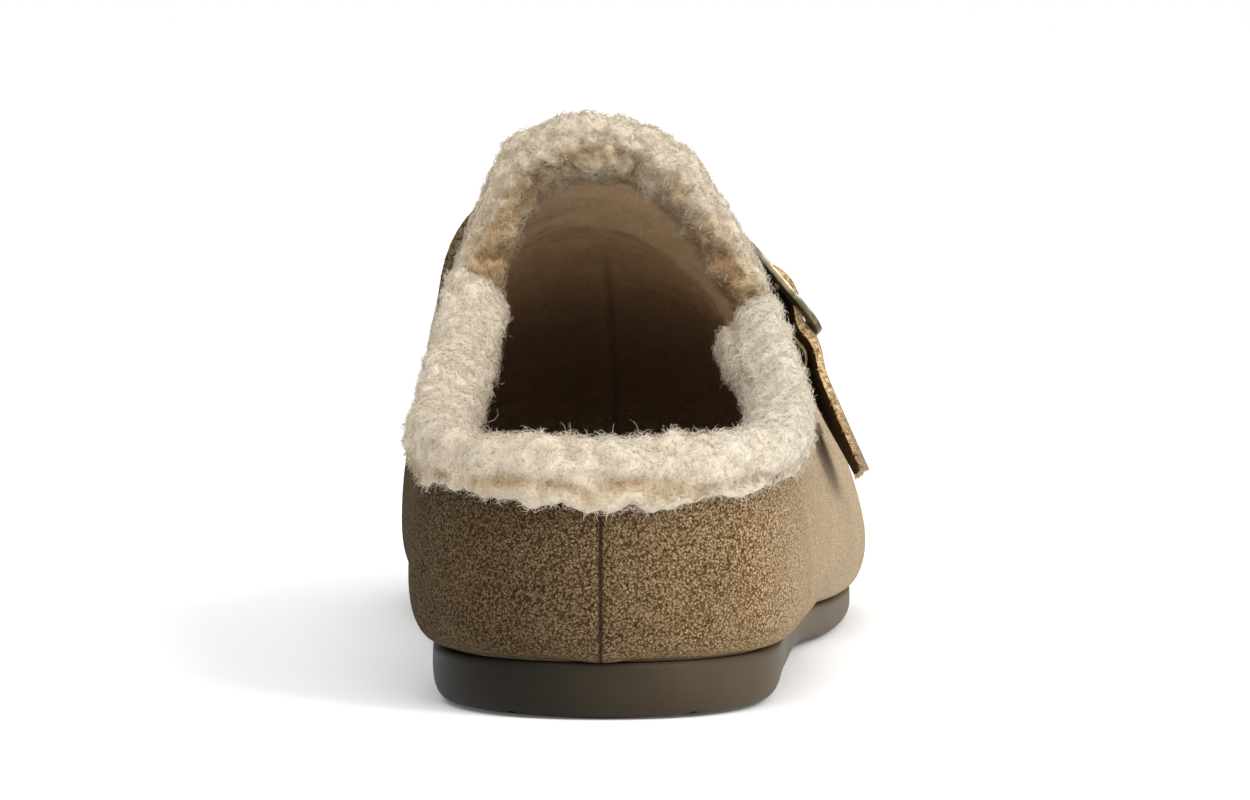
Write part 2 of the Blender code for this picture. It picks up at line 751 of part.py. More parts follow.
def make_tab(material, collection):
    """The short tab, stitched down under the strap's free end, that is folded round the buckle's bar."""
    lanes = [k / STRAP_LANES for k in range(STRAP_LANES + 1)]
    last = BUCKLE_ACROSS + TAB_REACH

    def low_row(stop, height):
        row = []
        for lane in lanes:
            point, normal, _, _ = form_frame(*strap_place(stop, lane, TAB_NARROW))
            under = strap_profile(BUCKLE_LENGTH / 2) - GAP - TAB_THICKNESS + height
            row.append(in_buckle(point + normal * (GAP + height), lambda down: under))
        return row

    stops = [TAB_FOOT + (last - TAB_FOOT) * k / TAB_STEPS for k in range(TAB_STEPS + 1)]
    rows = [(low_row(stop, 0.0), low_row(stop, TAB_THICKNESS)) for stop in stops]
    half = STRAP_WIDTH * TAB_NARROW / 2
    radius = BAR_RADIUS + GAP + TAB_THICKNESS / 2
    for k in range(FOLD_STEPS + 1):
        angle = FOLD_START - FOLD_SWEEP * k / FOLD_STEPS
        pair = []
        for reach in (radius + TAB_THICKNESS / 2, radius - TAB_THICKNESS / 2):
            place = Vector((0.0, reach * math.cos(angle), reach * math.sin(angle)))
            pair.append([BAR_AXES @ (place + Vector(((1 - 2 * lane) * half, 0.0, 0.0))) for lane in lanes])
        rows.append(tuple(pair))
    return make_band(
        "strap_tab", [pair[0] for pair in rows], [pair[1] for pair in rows], material, collection
    )


def rounded_rectangle(spline, width, length, corner):
    """Fills a poly spline with a rounded rectangle about the origin."""
    steps = 5
    points = []
    for quarter, (sx, sy) in enumerate(((1, 1), (-1, 1), (-1, -1), (1, -1))):
        for k in range(steps + 1):
            angle = math.pi / 2 * (quarter + k / steps)
            points.append(
                (
                    sx * (width / 2 - corner) + corner * math.cos(angle),
                    sy * (length / 2 - corner) + corner * math.sin(angle),
                )
            )
    spline.points.add(len(points) - 1)
    for point, (x, y) in zip(spline.points, points):
        point.co = (x, y, 0.0, 1.0)
    spline.use_cyclic_u = True


def as_mesh(curve_object):
    """The curve as a welded mesh object in the same place; the curve is removed."""
    graph = bpy.context.evaluated_depsgraph_get()
    data = bpy.data.meshes.new_from_object(curve_object.evaluated_get(graph))
    mesh = bmesh.new()
    mesh.from_mesh(data)
    bmesh.ops.remove_doubles(mesh, verts=mesh.verts, dist=1e-6)
    bmesh.ops.recalc_face_normals(mesh, faces=mesh.faces)
    mesh.to_mesh(data)
    mesh.free()
    name, matrix = curve_object.name, curve_object.matrix_world.copy()
    collection = curve_object.users_collection[0]
    bpy.data.objects.remove(curve_object)
    made = bpy.data.objects.new(name, data)
    made.matrix_world = matrix
    collection.objects.link(made)
    return made


def hide_cutter(cutter):
    cutter.hide_render = True
    cutter.display_type = "WIRE"


def add_boolean(target, other, operation):
    modifier = target.modifiers.new(operation.lower(), "BOOLEAN")
    modifier.operation = operation
    modifier.object = other
    modifier.solver = "EXACT"


def make_buckle(material, collection, cutters):
    """A flat rounded frame with a round bar across its middle."""
    width = STRAP_WIDTH + 2 * (BUCKLE_SIDE + BUCKLE_PLAY)
    outline = bpy.data.curves.new("buckle_frame", "CURVE")
    outline.dimensions = "2D"
    outline.fill_mode = "BOTH"
    outline.extrude = BUCKLE_THICKNESS * (0.5 - BUCKLE_BEVEL)
    outline.bevel_depth = BUCKLE_THICKNESS * BUCKLE_BEVEL
    outline.bevel_resolution = 1
    rounded_rectangle(outline.splines.new("POLY"), width, BUCKLE_LENGTH, BUCKLE_CORNER)
    rounded_rectangle(
        outline.splines.new("POLY"),
        width - 2 * BUCKLE_SIDE,
        BUCKLE_LENGTH - 2 * BUCKLE_END,
        BUCKLE_CORNER - min(BUCKLE_SIDE, BUCKLE_END) * 0.8,
    )
    frame = bpy.data.objects.new("buckle_frame", outline)
    collection.objects.link(frame)
    frame.matrix_world = BUCKLE_AXES
    bpy.context.view_layer.update()
    frame = as_mesh(frame)
    mesh = bmesh.new()
    bmesh.ops.create_cone(
        mesh,
        cap_ends=True,
        segments=12,
        radius1=BAR_RADIUS,
        radius2=BAR_RADIUS,
        depth=width - BUCKLE_SIDE,
        matrix=Matrix.Rotation(math.pi / 2, 4, "Y"),
    )
    bar = part_from(mesh, "buckle_bar", material, cutters)
    bar.matrix_world = BAR_AXES
    hide_cutter(bar)
    add_boolean(frame, bar, "UNION")
    frame.data.materials.append(material)
    return frame


def make_prong(strap, material, collection, cutters):
    """A wire that turns round the bar, comes up through the strap and rests on the frame's upper end."""
    radius = BAR_RADIUS + GAP + PRONG_RADIUS
    path = []
    for k in range(PRONG_STEPS + 1):
        angle = PRONG_SWEEP * k / PRONG_STEPS
        path.append((radius * math.cos(angle), -radius * math.sin(angle) - BAR_DROP))
    rise = -radius - 0.2 * MM
    over = strap_profile(rise) + STRAP_THICKNESS + GAP + PRONG_RADIUS
    rest = BUCKLE_THICKNESS / 2 + GAP + PRONG_RADIUS
    reach = BUCKLE_LENGTH / 2 - BUCKLE_END * 0.3
    path += [(rise, over * 0.5), (rise, over * 0.9), (rise - 0.7 * MM, over + PRONG_ARCH)]
    path += [((rise - reach) / 2, (over + rest) / 2 + PRONG_ARCH), (-reach, rest)]
    wire = bpy.data.curves.new("buckle_prong", "CURVE")
    wire.dimensions = "3D"
    wire.bevel_depth = PRONG_RADIUS
    wire.bevel_resolution = 2
    wire.use_fill_caps = True
    spline = wire.splines.new("POLY")
    spline.points.add(len(path) - 1)
    for point, (down, out) in zip(spline.points, path):
        point.co = (0.0, down, out, 1.0)
    prong = bpy.data.objects.new("buckle_prong", wire)
    prong.data.materials.append(material)
    collection.objects.link(prong)
    prong.matrix_world = BUCKLE_AXES
    bpy.context.view_layer.update()
    prong = as_mesh(prong)
    mesh = bmesh.new()
    bmesh.ops.create_cone(
        mesh,
        cap_ends=True,
        segments=14,
        radius1=PRONG_HOLE_RADIUS,
        radius2=PRONG_HOLE_RADIUS,
        depth=PRONG_HOLE_DEPTH,
    )
    hole = part_from(mesh, "prong_hole", material, cutters)
    hole.matrix_world = BUCKLE_AXES @ Matrix.Translation((0.0, rise, 0.0))
    hide_cutter(hole)
    add_boolean(strap, hole, "DIFFERENCE")
    return prong


def cut_prong_slot(tab, material, cutters):
    """The slot in the tab's fold where the prong turns."""
    mesh = bmesh.new()
    size = Matrix.Diagonal((PRONG_SLOT, PRONG_SLOT_DEPTH, PRONG_SLOT_DEPTH, 1.0))
    bmesh.ops.create_cube(mesh, size=1.0, matrix=size)
    slot = part_from(mesh, "prong_slot", material, cutters)
    slot.matrix_world = BAR_AXES
    hide_cutter(slot)
    add_boolean(tab, slot, "DIFFERENCE")


def centre_on_floor(parts, anchor):
    """Moves the anchor so that the shoe's box is centred on the origin and stands on Z = 0."""
    bpy.context.view_layer.update()
    graph = bpy.context.evaluated_depsgraph_get()
    corners = []
    for part in parts:
        evaluated = part.evaluated_get(graph)
        data = evaluated.to_mesh()
        corners += [evaluated.matrix_world @ vertex.co for vertex in data.vertices]
        evaluated.to_mesh_clear()
    low = Vector(map(min, zip(*corners)))
    high = Vector(map(max, zip(*corners)))
    anchor.location = (-(low.x + high.x) / 2, -(low.y + high.y) / 2, -low.z)


def main():
    for old in list(bpy.data.objects):
        bpy.data.objects.remove(old)
    clog = bpy.data.collections.new("house_clog")
    cutters = bpy.data.collections.new("cutters")
    for collection in (clog, cutters):
        bpy.context.scene.collection.children.link(collection)
    suede = finish_material("suede", SUEDE)
    fleece = finish_material("fleece", FLEECE)
    rubber = finish_material("rubber", RUBBER)
    footbed = finish_material("footbed", FOOTBED)
    brass = finish_material("brass", BRASS)

    strap = make_strap(suede, clog)
    tab = make_tab(suede, clog)
    parts = [
        make_outsole(rubber, clog),
        make_insole(footbed, clog),
        make_upper(suede, clog),
        make_cuff(heel_cuff_loops(), "heel_cuff", fleece, clog),
        make_cuff(vamp_cuff_loops(), "vamp_cuff", fleece, clog),
        strap,
        tab,
        make_buckle(brass, clog, cutters),
        make_prong(strap, brass, clog, cutters),
    ]
    cut_prong_slot(tab, suede, cutters)
    anchor = bpy.data.objects.new("clog_frame", None)
    clog.objects.link(anchor)
    for piece in [*parts, *cutters.objects]:
        piece.parent = anchor
    centre_on_floor(parts, anchor)


main()
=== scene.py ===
"""Looks of a fleece-lined house clog for a right foot, built round its packed model.

The toe points along +Y, the outer side is +X and the sole stands on Z = 0, in metres.
"""

import math
from collections import namedtuple

import bmesh
import bpy
import numpy as np
from mathutils import Matrix, Vector, noise
from mathutils.bvhtree import BVHTree


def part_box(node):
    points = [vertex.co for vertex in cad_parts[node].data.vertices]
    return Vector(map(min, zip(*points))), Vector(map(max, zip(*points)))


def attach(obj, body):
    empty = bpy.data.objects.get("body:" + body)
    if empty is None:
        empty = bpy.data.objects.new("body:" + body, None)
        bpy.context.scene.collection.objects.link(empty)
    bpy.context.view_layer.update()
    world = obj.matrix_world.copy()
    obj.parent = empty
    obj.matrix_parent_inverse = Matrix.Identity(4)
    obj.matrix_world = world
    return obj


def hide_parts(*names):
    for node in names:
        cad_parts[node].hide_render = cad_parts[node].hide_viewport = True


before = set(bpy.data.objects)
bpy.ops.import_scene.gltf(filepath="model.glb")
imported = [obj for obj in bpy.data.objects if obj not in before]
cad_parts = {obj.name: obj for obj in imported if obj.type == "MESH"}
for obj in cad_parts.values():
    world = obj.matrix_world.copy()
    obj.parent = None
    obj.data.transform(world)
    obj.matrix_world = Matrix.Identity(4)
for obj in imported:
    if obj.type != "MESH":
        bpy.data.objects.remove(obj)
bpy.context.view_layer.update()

bl_info = {
    "name": "House clog",
    "version": (1, 0, 0),
    "blender": (4, 5, 0),
    "location": "3D View > Sidebar > Clog",
    "description": "Builds the suede, fleece, rubber and brass of a house clog",
    "category": "Object",
}

MM = 0.001
WELD = 0.01 * MM

# The middle of the shoe's inside, which outer faces look away from
INSIDE_HEIGHT = 30 * MM
INSIDE_BACK = -85 * MM
INSIDE_FRONT = 70 * MM
RIM_DEPTH = 9 * MM
FOOTBED_TOP = 18 * MM

# The back seam, and where the upper's lower edge lies behind the heel
SEAM_X = -2.3 * MM
SEAM_BACK = -95 * MM
SEAM_LOOPS = (0.0, 0.35, 0.7, 1.1, 1.7, 2.6, 4.0)
SEAM_FOOT = 10 * MM
SEAM_FADE = 5 * MM

# Height of the upper's top edge, by place along the shoe
RIM_PLACES = (-0.1235, -0.1035, -0.0785, -0.0485, -0.0255, -0.0095)
RIM_HEIGHTS = (0.0446, 0.0456, 0.0502, 0.0588, 0.0670, 0.0620)

# How the hollow along the heel cuff narrows, by place along the shoe
VALLEY_PLACES = (-0.1235, -0.0835)
VALLEY_WIDTHS = (1.0, 0.5)

# Start of the random numbers that the pile's locks follow, and the fibres in each piece of a cuff's pile
PILE_SEED = 5
CUFF_FIBRES = 11000

# Gap at which a cuff lies against the upper, and the thinnest triangle kept in the upper
TOUCHING = 0.8 * MM
UPPER_SLIVER = 0.3 * MM

# Where wrinkles across the vamp's lining are drawn as lines of painted shade, and where its seam runs in
# the toe
LINING_WRINKLES = (7 * MM, 11 * MM, 23 * MM)
LINING_SEAM_X = -4.5 * MM

# Soft troughs of the upper: places in metres, half length, half width and depth in millimetres
Crease = namedtuple("Crease", "middle way reach width depth")
CREASES = (
    Crease((0.000, -0.126, 0.030), (1.0, 0.0, 0.0), 26.0, 5.0, 0.45),
    Crease((0.004, 0.047, 0.066), (1.0, 0.12, -0.05), 30.0, 5.5, 0.55),
    Crease((0.002, 0.062, 0.060), (1.0, 0.10, -0.05), 24.0, 4.5, 0.40),
    Crease((-0.036, -0.070, 0.032), (0.15, 0.45, 0.88), 13.0, 4.5, 0.60),
    Crease((-0.037, -0.052, 0.034), (0.10, 0.30, 0.95), 15.0, 4.0, 0.45),
    Crease((0.036, -0.060, 0.030), (-0.12, 0.40, 0.90), 14.0, 4.5, 0.50),
)

# Short fuzz: tones and thicknesses are drawn between two bounds, and steps change the tone along a fibre
Fuzz = namedtuple("Fuzz", "piece slot count seed long swirl tones steps spread")
LINING_FUZZ = Fuzz(
    "lining_pile", "fleece", 4000, 31, 1.6 * MM, 4.0 * MM, (0.15, 0.6), (-0.15, 0.1, 0.3), (0.8, 1.2)
)
EDGE_FUZZ = Fuzz(
    "strap_edge_fuzz", "suede", 2800, 61, 0.7 * MM, 1.5 * MM, (0.1, 1.0), (-0.2, 0.0, 0.2), (0.7, 1.3)
)
EDGE_HAIR = 0.15 * MM

# Loose fibres: the cuff and its faces, how many and how long, and how they rise, bend and hang
Strays = namedtuple("Strays", "cuff chosen count long upright bend droop")

# Bands of suede: thickness and rounding of the edges, and the order of their materials
Band = namedtuple("Band", "node piece thick bevel")
STRAP = Band("instep_strap", "strap", 1.7 * MM, 0.4 * MM)
TAB = Band("strap_tab", "buckle_tab", 0.6 * MM, 0.15 * MM)
NAP, CUT, FLESH_SHADE = range(3)

# Floor: half its width, and how far it lies below the sole
FLOOR_REACH = 30.0
FLOOR_DROP = 0.05 * MM


# Settings


def colour(name, description, default):
    return bpy.props.FloatVectorProperty(
        name=name, description=description, default=default, subtype="COLOR", size=3, min=0.0, max=1.0
    )


def length(name, description, default):
    return bpy.props.FloatProperty(
        name=name, description=description, default=default * MM, unit="LENGTH", precision=6
    )


def share(name, description, default):
    return bpy.props.FloatProperty(
        name=name, description=description, default=default, min=0.0, max=1.0, subtype="FACTOR"
    )


def number(name, description, default):
    return bpy.props.FloatProperty(name=name, description=description, default=default)


class ClogSuede(bpy.types.PropertyGroup):
    """Brushed suede of the upper, the strap and the tab."""

    dark: colour("Dark nap", "Between the tufts of the nap", (0.036, 0.018, 0.006))
    middle: colour("Nap", "Main colour of the nap", (0.138, 0.087, 0.041))
    light: colour("Light nap", "Tips of the nap", (0.430, 0.308, 0.176))
    # The pale nap is painted sheen: the nap made paler on the outer side, where light grazes it
    pale: colour("Pale nap", "Nap brushed light on the outer side", (0.620, 0.510, 0.370))
    edge: colour("Cut edge", "Raw edge of the strap", (0.560, 0.390, 0.190))
    frayed: colour("Frayed edge", "Palest hairs of the raw edge", (0.80, 0.62, 0.36))
    thread: colour("Seam", "Dark line of the back seam", (0.026, 0.016, 0.009))
    grain: length("Grain", "Size of the nap's tufts", 0.48)
    relief: length("Relief", "Depth of the nap's tufts", 0.18)
    seam_depth: length("Seam depth", "How far the back seam pulls in", 0.8)
    seam_width: length("Seam width", "Half width of the back seam's furrow", 0.5)
    thickness: length("Thickness", "Of the suede shell", 2.0)
    tuck: length("Tuck", "How far the lower edge reaches into the sole's rim", 0.45)


class ClogFleece(bpy.types.PropertyGroup):
    """Curly pile of the cuffs and the lining."""

    # Shade is painted shade; the root colour of the pile's hollows is partly painted shade
    shade: colour("Shade", "Pile deep between the cuffs", (0.460, 0.305, 0.155))
    root: colour("Root", "Pile in the hollows", (0.500, 0.385, 0.245))
    body: colour("Pile", "Main colour of the pile", (0.600, 0.512, 0.392))
    tip: colour("Tip", "Ends of the pile", (0.690, 0.620, 0.508))
    lining: colour("Lining", "Pile inside the shoe", (0.860, 0.660, 0.430))
    lining_root: colour("Lining root", "Hollows of the pile inside the shoe", (0.700, 0.500, 0.290))
    # Painted shade of the lining, deep in the toe and along its wrinkles
    toe: colour("Toe lining", "Dark lining deep in the toe", (0.520, 0.375, 0.245))
    toe_seam: colour("Toe seam", "Dark seam of the lining in the toe", (0.06, 0.04, 0.025))
    curl: length("Curl", "Size of the lumps of pile", 6.5)
    swell: length("Swell", "Height of the lumps of pile", 1.3)
    sink: length("Sink", "How far the mass of pile lies below its fibres", 0.6)
    fibre: length("Fibre", "Length of the pile's fibres", 2.3)
    fine: length("Fineness", "Width of a fibre at its root", 0.125)
    stray: length("Stray fibre", "Length of the longest loose fibres", 6.0)
    lining_thickness: length("Lining thickness", "Of the lining shell", 2.4)


class ClogSole(bpy.types.PropertyGroup):
    """Moulded rubber sole and dark footbed."""

    rubber: colour("Rubber", "Main colour of the sole", (0.036, 0.026, 0.0140))
    worn: colour("Dusty rubber", "Rubbed places of the sole", (0.072, 0.055, 0.033))
    footbed: colour("Footbed", "Main colour of the footbed", (0.075, 0.058, 0.047))
    groove: length("Groove", "Width of a tread groove", 1.8)
    depth: length("Tread depth", "Depth of a tread groove", 1.1)
    pitch: length("Tread pitch", "From groove to groove", 7.5)
    border: length("Border", "Plain border round the tread", 7.0)


class ClogBrass(bpy.types.PropertyGroup):
    """Antique finish of the buckle."""

    metal: colour("Brass", "Rubbed metal", (0.480, 0.415, 0.275))
    patina: colour("Patina", "Darkened metal", (0.105, 0.092, 0.062))
    roughness: share("Roughness", "Of rubbed metal", 0.27)


class ClogStage(bpy.types.PropertyGroup):
    """Camera, light and floor."""

    eye: bpy.props.FloatVectorProperty(
        name="Eye", description="Where the camera stands", default=(0.0202, -1.1235, 0.123),
        subtype="TRANSLATION", unit="LENGTH",
    )
    tilt: number("Tilt", "Camera's angle from straight down, in degrees", 86.141)
    turn: number("Turn", "Camera's turn to the left, in degrees", 1.05)
    lens: number("Lens", "Focal length in millimetres", 168.0)
    left: share("Light from the left", "Strength of the surroundings on the inner side", 0.44)
    right: share("Light from the right", "Strength of the surroundings on the outer side", 0.80)
    floor_glow: share("Floor glow", "Strength of the light from the pale floor", 0.08)
    key: number("Key light", "Strength of the soft key light", 1.75)
    key_angle: number("Key size", "Angle that the key light fills, in degrees", 26.0)
    top: number("Top light", "Strength of the wide light overhead", 1.65)
    top_angle: number("Top size", "Angle that the top light fills, in degrees", 55.0)


# Making meshes


def within(value):
    """The value, held between 0 and 1."""
    return min(max(value, 0.0), 1.0)


def soft(value):
    """A smooth step from 0 to 1."""
    part = within(value)
    return part * part * (3 - 2 * part)


def bell(off, width):
    """A smooth bump: 1 in its middle, about a third at its width."""
    return math.exp(-((off / width) ** 2))


def meshed(shape, name):
    """The shape as mesh data; the shape itself is used up."""
    data = bpy.data.meshes.new(name)
    shape.to_mesh(data)
    shape.free()
    return data


def placed(name, data):
    """A new object in the scene."""
    item = bpy.data.objects.new(name, data)
    bpy.context.scene.collection.objects.link(item)
    return item


def merged_copy(node, sliver=WELD):
    """A CAD piece as a welded mesh, mostly of quads, without triangles thinner than sliver."""
    shape = bmesh.new()
    shape.from_mesh(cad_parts[node].data)
    bmesh.ops.remove_doubles(shape, verts=shape.verts, dist=WELD)
    bmesh.ops.dissolve_degenerate(shape, dist=sliver, edges=shape.edges)
    bmesh.ops.join_triangles(
        shape,
        faces=shape.faces,
        angle_face_threshold=math.radians(50),
        angle_shape_threshold=math.radians(80),
    )
    shape.normal_update()
    return shape


def evaluated(shape, add_modifiers):
    """The shape after its modifiers, as a new shape."""
    data = meshed(shape, "working")
    holder = placed("working", data)
    add_modifiers(holder)
    graph = bpy.context.evaluated_depsgraph_get()
    changed = bpy.data.meshes.new_from_object(holder.evaluated_get(graph))
    bpy.data.objects.remove(holder)
    bpy.data.meshes.remove(data)
    result = bmesh.new()
    result.from_mesh(changed)
    bpy.data.meshes.remove(changed)
    result.normal_update()
    return result


def rounded(shape, levels, sharp=None):
    """Subdivides a shape smoothly; edges that turn more than sharp degrees stay crisp."""
    if sharp is not None:
        layers = shape.edges.layers.float
        crease = layers.get("crease_edge") or layers.new("crease_edge")
        for edge in shape.edges:
            if edge.is_manifold and edge.calc_face_angle() > math.radians(sharp):
                edge[crease] = 1.0

    def add(holder):
        modifier = holder.modifiers.new("round", "SUBSURF")
        modifier.levels = modifier.render_levels = levels

    return evaluated(shape, add)


def cut_with(shape, cutter_shape):
    """The shape less a cutter."""
    data = meshed(cutter_shape, "cutter")
    cutter = placed("cutter", data)

    def add(holder):
        modifier = holder.modifiers.new("cut", "BOOLEAN")
        modifier.operation = "DIFFERENCE"
        modifier.solver = "EXACT"
        modifier.object = cutter

    result = evaluated(shape, add)
    bpy.data.objects.remove(cutter)
    bpy.data.meshes.remove(data)
    return result


def soften_edges(shape, angle, width):
    """Rounds over the edges that turn more than angle degrees."""
    sharp = [e for e in shape.edges if e.is_manifold and e.calc_face_angle() > math.radians(angle)]
    bmesh.ops.bevel(
        shape, geom=sharp, offset=width, offset_type="OFFSET", segments=2, profile=0.5,
        affect="EDGES", material=-1, clamp_overlap=True,
    )
    shape.normal_update()


def through(shape):
    """How far each face's solid reaches behind it."""
    tree = BVHTree.FromBMesh(shape)
    depths = {}
    for face in shape.faces:
        start = face.calc_center_median() - face.normal * WELD
        hit = tree.ray_cast(start, -face.normal)
        depths[face] = hit[3] if hit[0] is not None else math.inf
    return depths


def turned_out(place, normal):
    """1 where a surface looks away from the inside of the shoe, -1 where it looks into it."""
    middle = Vector((SEAM_X, min(max(place.y, INSIDE_BACK), INSIDE_FRONT), INSIDE_HEIGHT))
    return normal.dot((place - middle).normalized())


def looks_out(place, normal):
    return turned_out(place, normal) > 0


def faces_out(face):
    return looks_out(face.calc_center_median(), face.normal)


def keep_faces(shape, wanted):
    """Drops the other faces and closes the small holes that this leaves."""
    drop = [face for face in shape.faces if not wanted(face)]
    bmesh.ops.delete(shape, geom=drop, context="FACES")
    rim = [edge for edge in shape.edges if edge.is_boundary]
    bmesh.ops.holes_fill(shape, edges=rim, sides=12)
    shape.normal_update()


def thicken(shape, thickness):
    """Closes an open shell by a second face behind it."""

    def add(holder):
        modifier = holder.modifiers.new("wall", "SOLIDIFY")
        modifier.thickness = thickness
        modifier.offset = -1.0

    return evaluated(shape, add)


def finished(shape, name, materials, replaced=()):
    """Puts a shape in the scene as a piece of the shoe."""
    return finished_mesh(meshed(shape, name), name, materials, replaced)


def finished_mesh(data, name, materials, replaced=()):
    """The same for a ready mesh."""
    for material in materials:
        data.materials.append(material)
    data.shade_smooth()
    piece = placed(name, data)
    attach(piece, "root")
    if replaced:
        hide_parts(*replaced)
    return piece


# Pile


def table(items, name, width, kind=float):
    """One value of every item of a mesh, as rows of the given width."""
    values = np.empty(len(items) * width, dtype=kind)
    items.foreach_get(name, values)
    return values.reshape(-1, width)


def scatter(data, count, seed, wanted):
    """Random places on the wanted faces, spread by area: points, normals and the faces they lie on."""
    data.calc_loop_triangles()
    corners = table(data.loop_triangles, "vertices", 3, np.int64)
    owners = table(data.loop_triangles, "polygon_index", 1, np.int64)[:, 0]
    points = table(data.vertices, "co", 3)
    normals = table(data.vertices, "normal", 3)
    a, b, c = (points[corners[:, k]] for k in range(3))
    weights = np.array([float(wanted(face)) for face in data.polygons])
    area = np.linalg.norm(np.cross(b - a, c - a), axis=1) / 2 * weights[owners]
    chance = np.random.default_rng(seed)
    chosen = chance.choice(len(corners), size=count, p=area / area.sum())
    u, v = chance.random(count), chance.random(count)
    over = u + v > 1
    u[over], v[over] = 1 - u[over], 1 - v[over]
    weights = np.stack([1 - u - v, u, v], axis=1)[:, :, None]
    places = (points[corners[chosen]] * weights).sum(axis=1)
    outward = unit((normals[corners[chosen]] * weights).sum(axis=1))
    return places, outward, owners[chosen]


def unit(vectors):
    return vectors / np.maximum(np.linalg.norm(vectors, axis=-1, keepdims=True), 1e-12)


def flow(places, size, seed):
    """A smooth random direction at each place, changing over the given size."""
    shift = Vector((17.3 * seed, 5.1 * seed, 9.7 * seed))
    return np.array([noise.noise_vector(Vector(place) / size + shift) for place in places])


def spikes(name, paths, widths, tones):
    """Joined three-sided fibres along paths (fibre, point, xyz), with a tone for each point."""
    taper = 0.72
    count, stops, _ = paths.shape
    chance = np.random.default_rng(len(name))
    along = unit(paths[:, -1] - paths[:, 0])
    side = unit(np.cross(along, chance.normal(size=(count, 3))))
    other = np.cross(along, side)
    rings = stops - 1
    per_fibre = rings * 3 + 1
    points = np.empty((count, per_fibre, 3))
    shades = np.empty((count, per_fibre))
    for ring in range(rings):
        radius = widths * (1 - taper * ring / rings) / 2
        for corner in range(3):
            angle = corner * math.tau / 3
            reach = side * math.cos(angle) + other * math.sin(angle)
            points[:, ring * 3 + corner] = paths[:, ring] + reach * radius[:, None]
            shades[:, ring * 3 + corner] = tones[:, ring]
    points[:, -1] = paths[:, -1]
    shades[:, -1] = tones[:, -1]
    faces = [(0, 2, 1)]
    for ring in range(rings - 1):
        for corner in range(3):
            here, after = ring * 3 + corner, ring * 3 + (corner + 1) % 3
            faces += [(here, after, after + 3), (here, after + 3, here + 3)]
    last = (rings - 1) * 3
    faces += [(last + k, last + (k + 1) % 3, per_fibre - 1) for k in range(3)]
    faces = np.array(faces)
    corners = (faces[None] + (np.arange(count) * per_fibre)[:, None, None]).reshape(-1)
    data = bpy.data.meshes.new(name)
    data.vertices.add(count * per_fibre)
    data.vertices.foreach_set("co", points.reshape(-1))
    data.loops.add(len(corners))
    data.loops.foreach_set("vertex_index", corners)
    data.polygons.add(len(corners) // 3)
    data.polygons.foreach_set("loop_start", np.arange(0, len(corners), 3))
    data.update(calc_edges=True)
    layer = data.attributes.new("tone", "FLOAT", "POINT")
    layer.data.foreach_set("value", shades.reshape(-1))
    return data


def fuzz(places, outward, long, seed, swirl):
    """Paths of short curled fibres that stand in loose locks."""
    upright, curl = 0.8, 0.5
    chance = np.random.default_rng(seed)
    count = len(places)
    lean = 0.8 * flow(places, swirl, seed) + 0.7 * chance.normal(size=(count, 3))
    start = unit(outward * upright + lean)
    lengths = long * chance.uniform(0.55, 1.3, size=count)[:, None]
    turn = unit(np.cross(start, chance.normal(size=(count, 3)))) * curl
    shares = np.linspace(0, 1, 3)
    return np.stack([places + lengths * (start * t + turn * t * t) for t in shares], axis=1)


def curls(places, outward, long, seed):
    """Paths of fibres that lie along a surface in swirling locks and arch over at their ends."""
    stops, bend, swirl = 4, 2.4, 2.6 * MM
    chance = np.random.default_rng(seed)
    count = len(places)
    way = unit(flow(places, swirl, seed)) + 0.75 * chance.normal(size=(count, 3))
    way = unit(way - outward * (way * outward).sum(axis=1, keepdims=True))
    beside = np.cross(outward, way)
    lengths = long * chance.uniform(0.5, 1.25, size=count)[:, None]
    bends = bend * chance.normal(size=count)[:, None]
    lifts = chance.uniform(0.5, 1.4, size=count)[:, None]
    path = [places]
    for k in range(1, stops):
        part = (k - 0.5) / (stops - 1)
        turned = way * np.cos(bends * part) + beside * np.sin(bends * part)
        step = turned + outward * lifts * (1 - 1.5 * part)
        path.append(path[-1] + unit(step) * lengths / (stops - 1))
    return np.stack(path, axis=1)


def hooks(places, outward, strays, seed):
    """Paths of long loose fibres that curl round at their ends and may hang down."""
    stops = 6
    chance = np.random.default_rng(seed)
    count = len(places)
    hang = np.array([0.0, 0.0, strays.droop])
    start = unit(outward * strays.upright + 0.6 * chance.normal(size=(count, 3)) - hang)
    side = unit(np.cross(start, chance.normal(size=(count, 3))))
    lengths = strays.long * chance.uniform(0.35, 1.0, size=count)[:, None]
    bends = strays.bend * chance.uniform(0.4, 1.2, size=count)[:, None]
    path = [places]
    for k in range(1, stops):
        angle = bends * (k / (stops - 1)) ** 2
        path.append(path[-1] + (start * np.cos(angle) + side * np.sin(angle)) * lengths / (stops - 1))
    return np.stack(path, axis=1)


def grow_fuzz(data, wanted, kind, width, material):
    """A piece of short fibres on the wanted faces of a mesh."""
    places, outward, _ = scatter(data, kind.count, kind.seed, wanted)
    paths = fuzz(places, outward, kind.long, kind.seed + 1, kind.swirl)
    chance = np.random.default_rng(kind.seed + 2)
    tones = chance.uniform(*kind.tones, size=(len(paths), 1)) + np.array([kind.steps])
    widths = width * chance.uniform(*kind.spread, size=len(paths))
    pile = spikes(kind.piece, paths, widths, np.clip(tones, 0, 1))
    finished_mesh(pile, kind.piece, [material])


def lumps(place, size):
    """A cushion-like height in cells of the given size, about -1 to 1."""
    warped = place + noise.noise_vector(place / (size * 1.6)) * size * 0.55
    near = noise.voronoi(warped / size)[0]
    return 1.0 - 2.1 * near[0] ** 1.3 + 0.55 * noise.noise(place / (size * 0.35))


# Materials


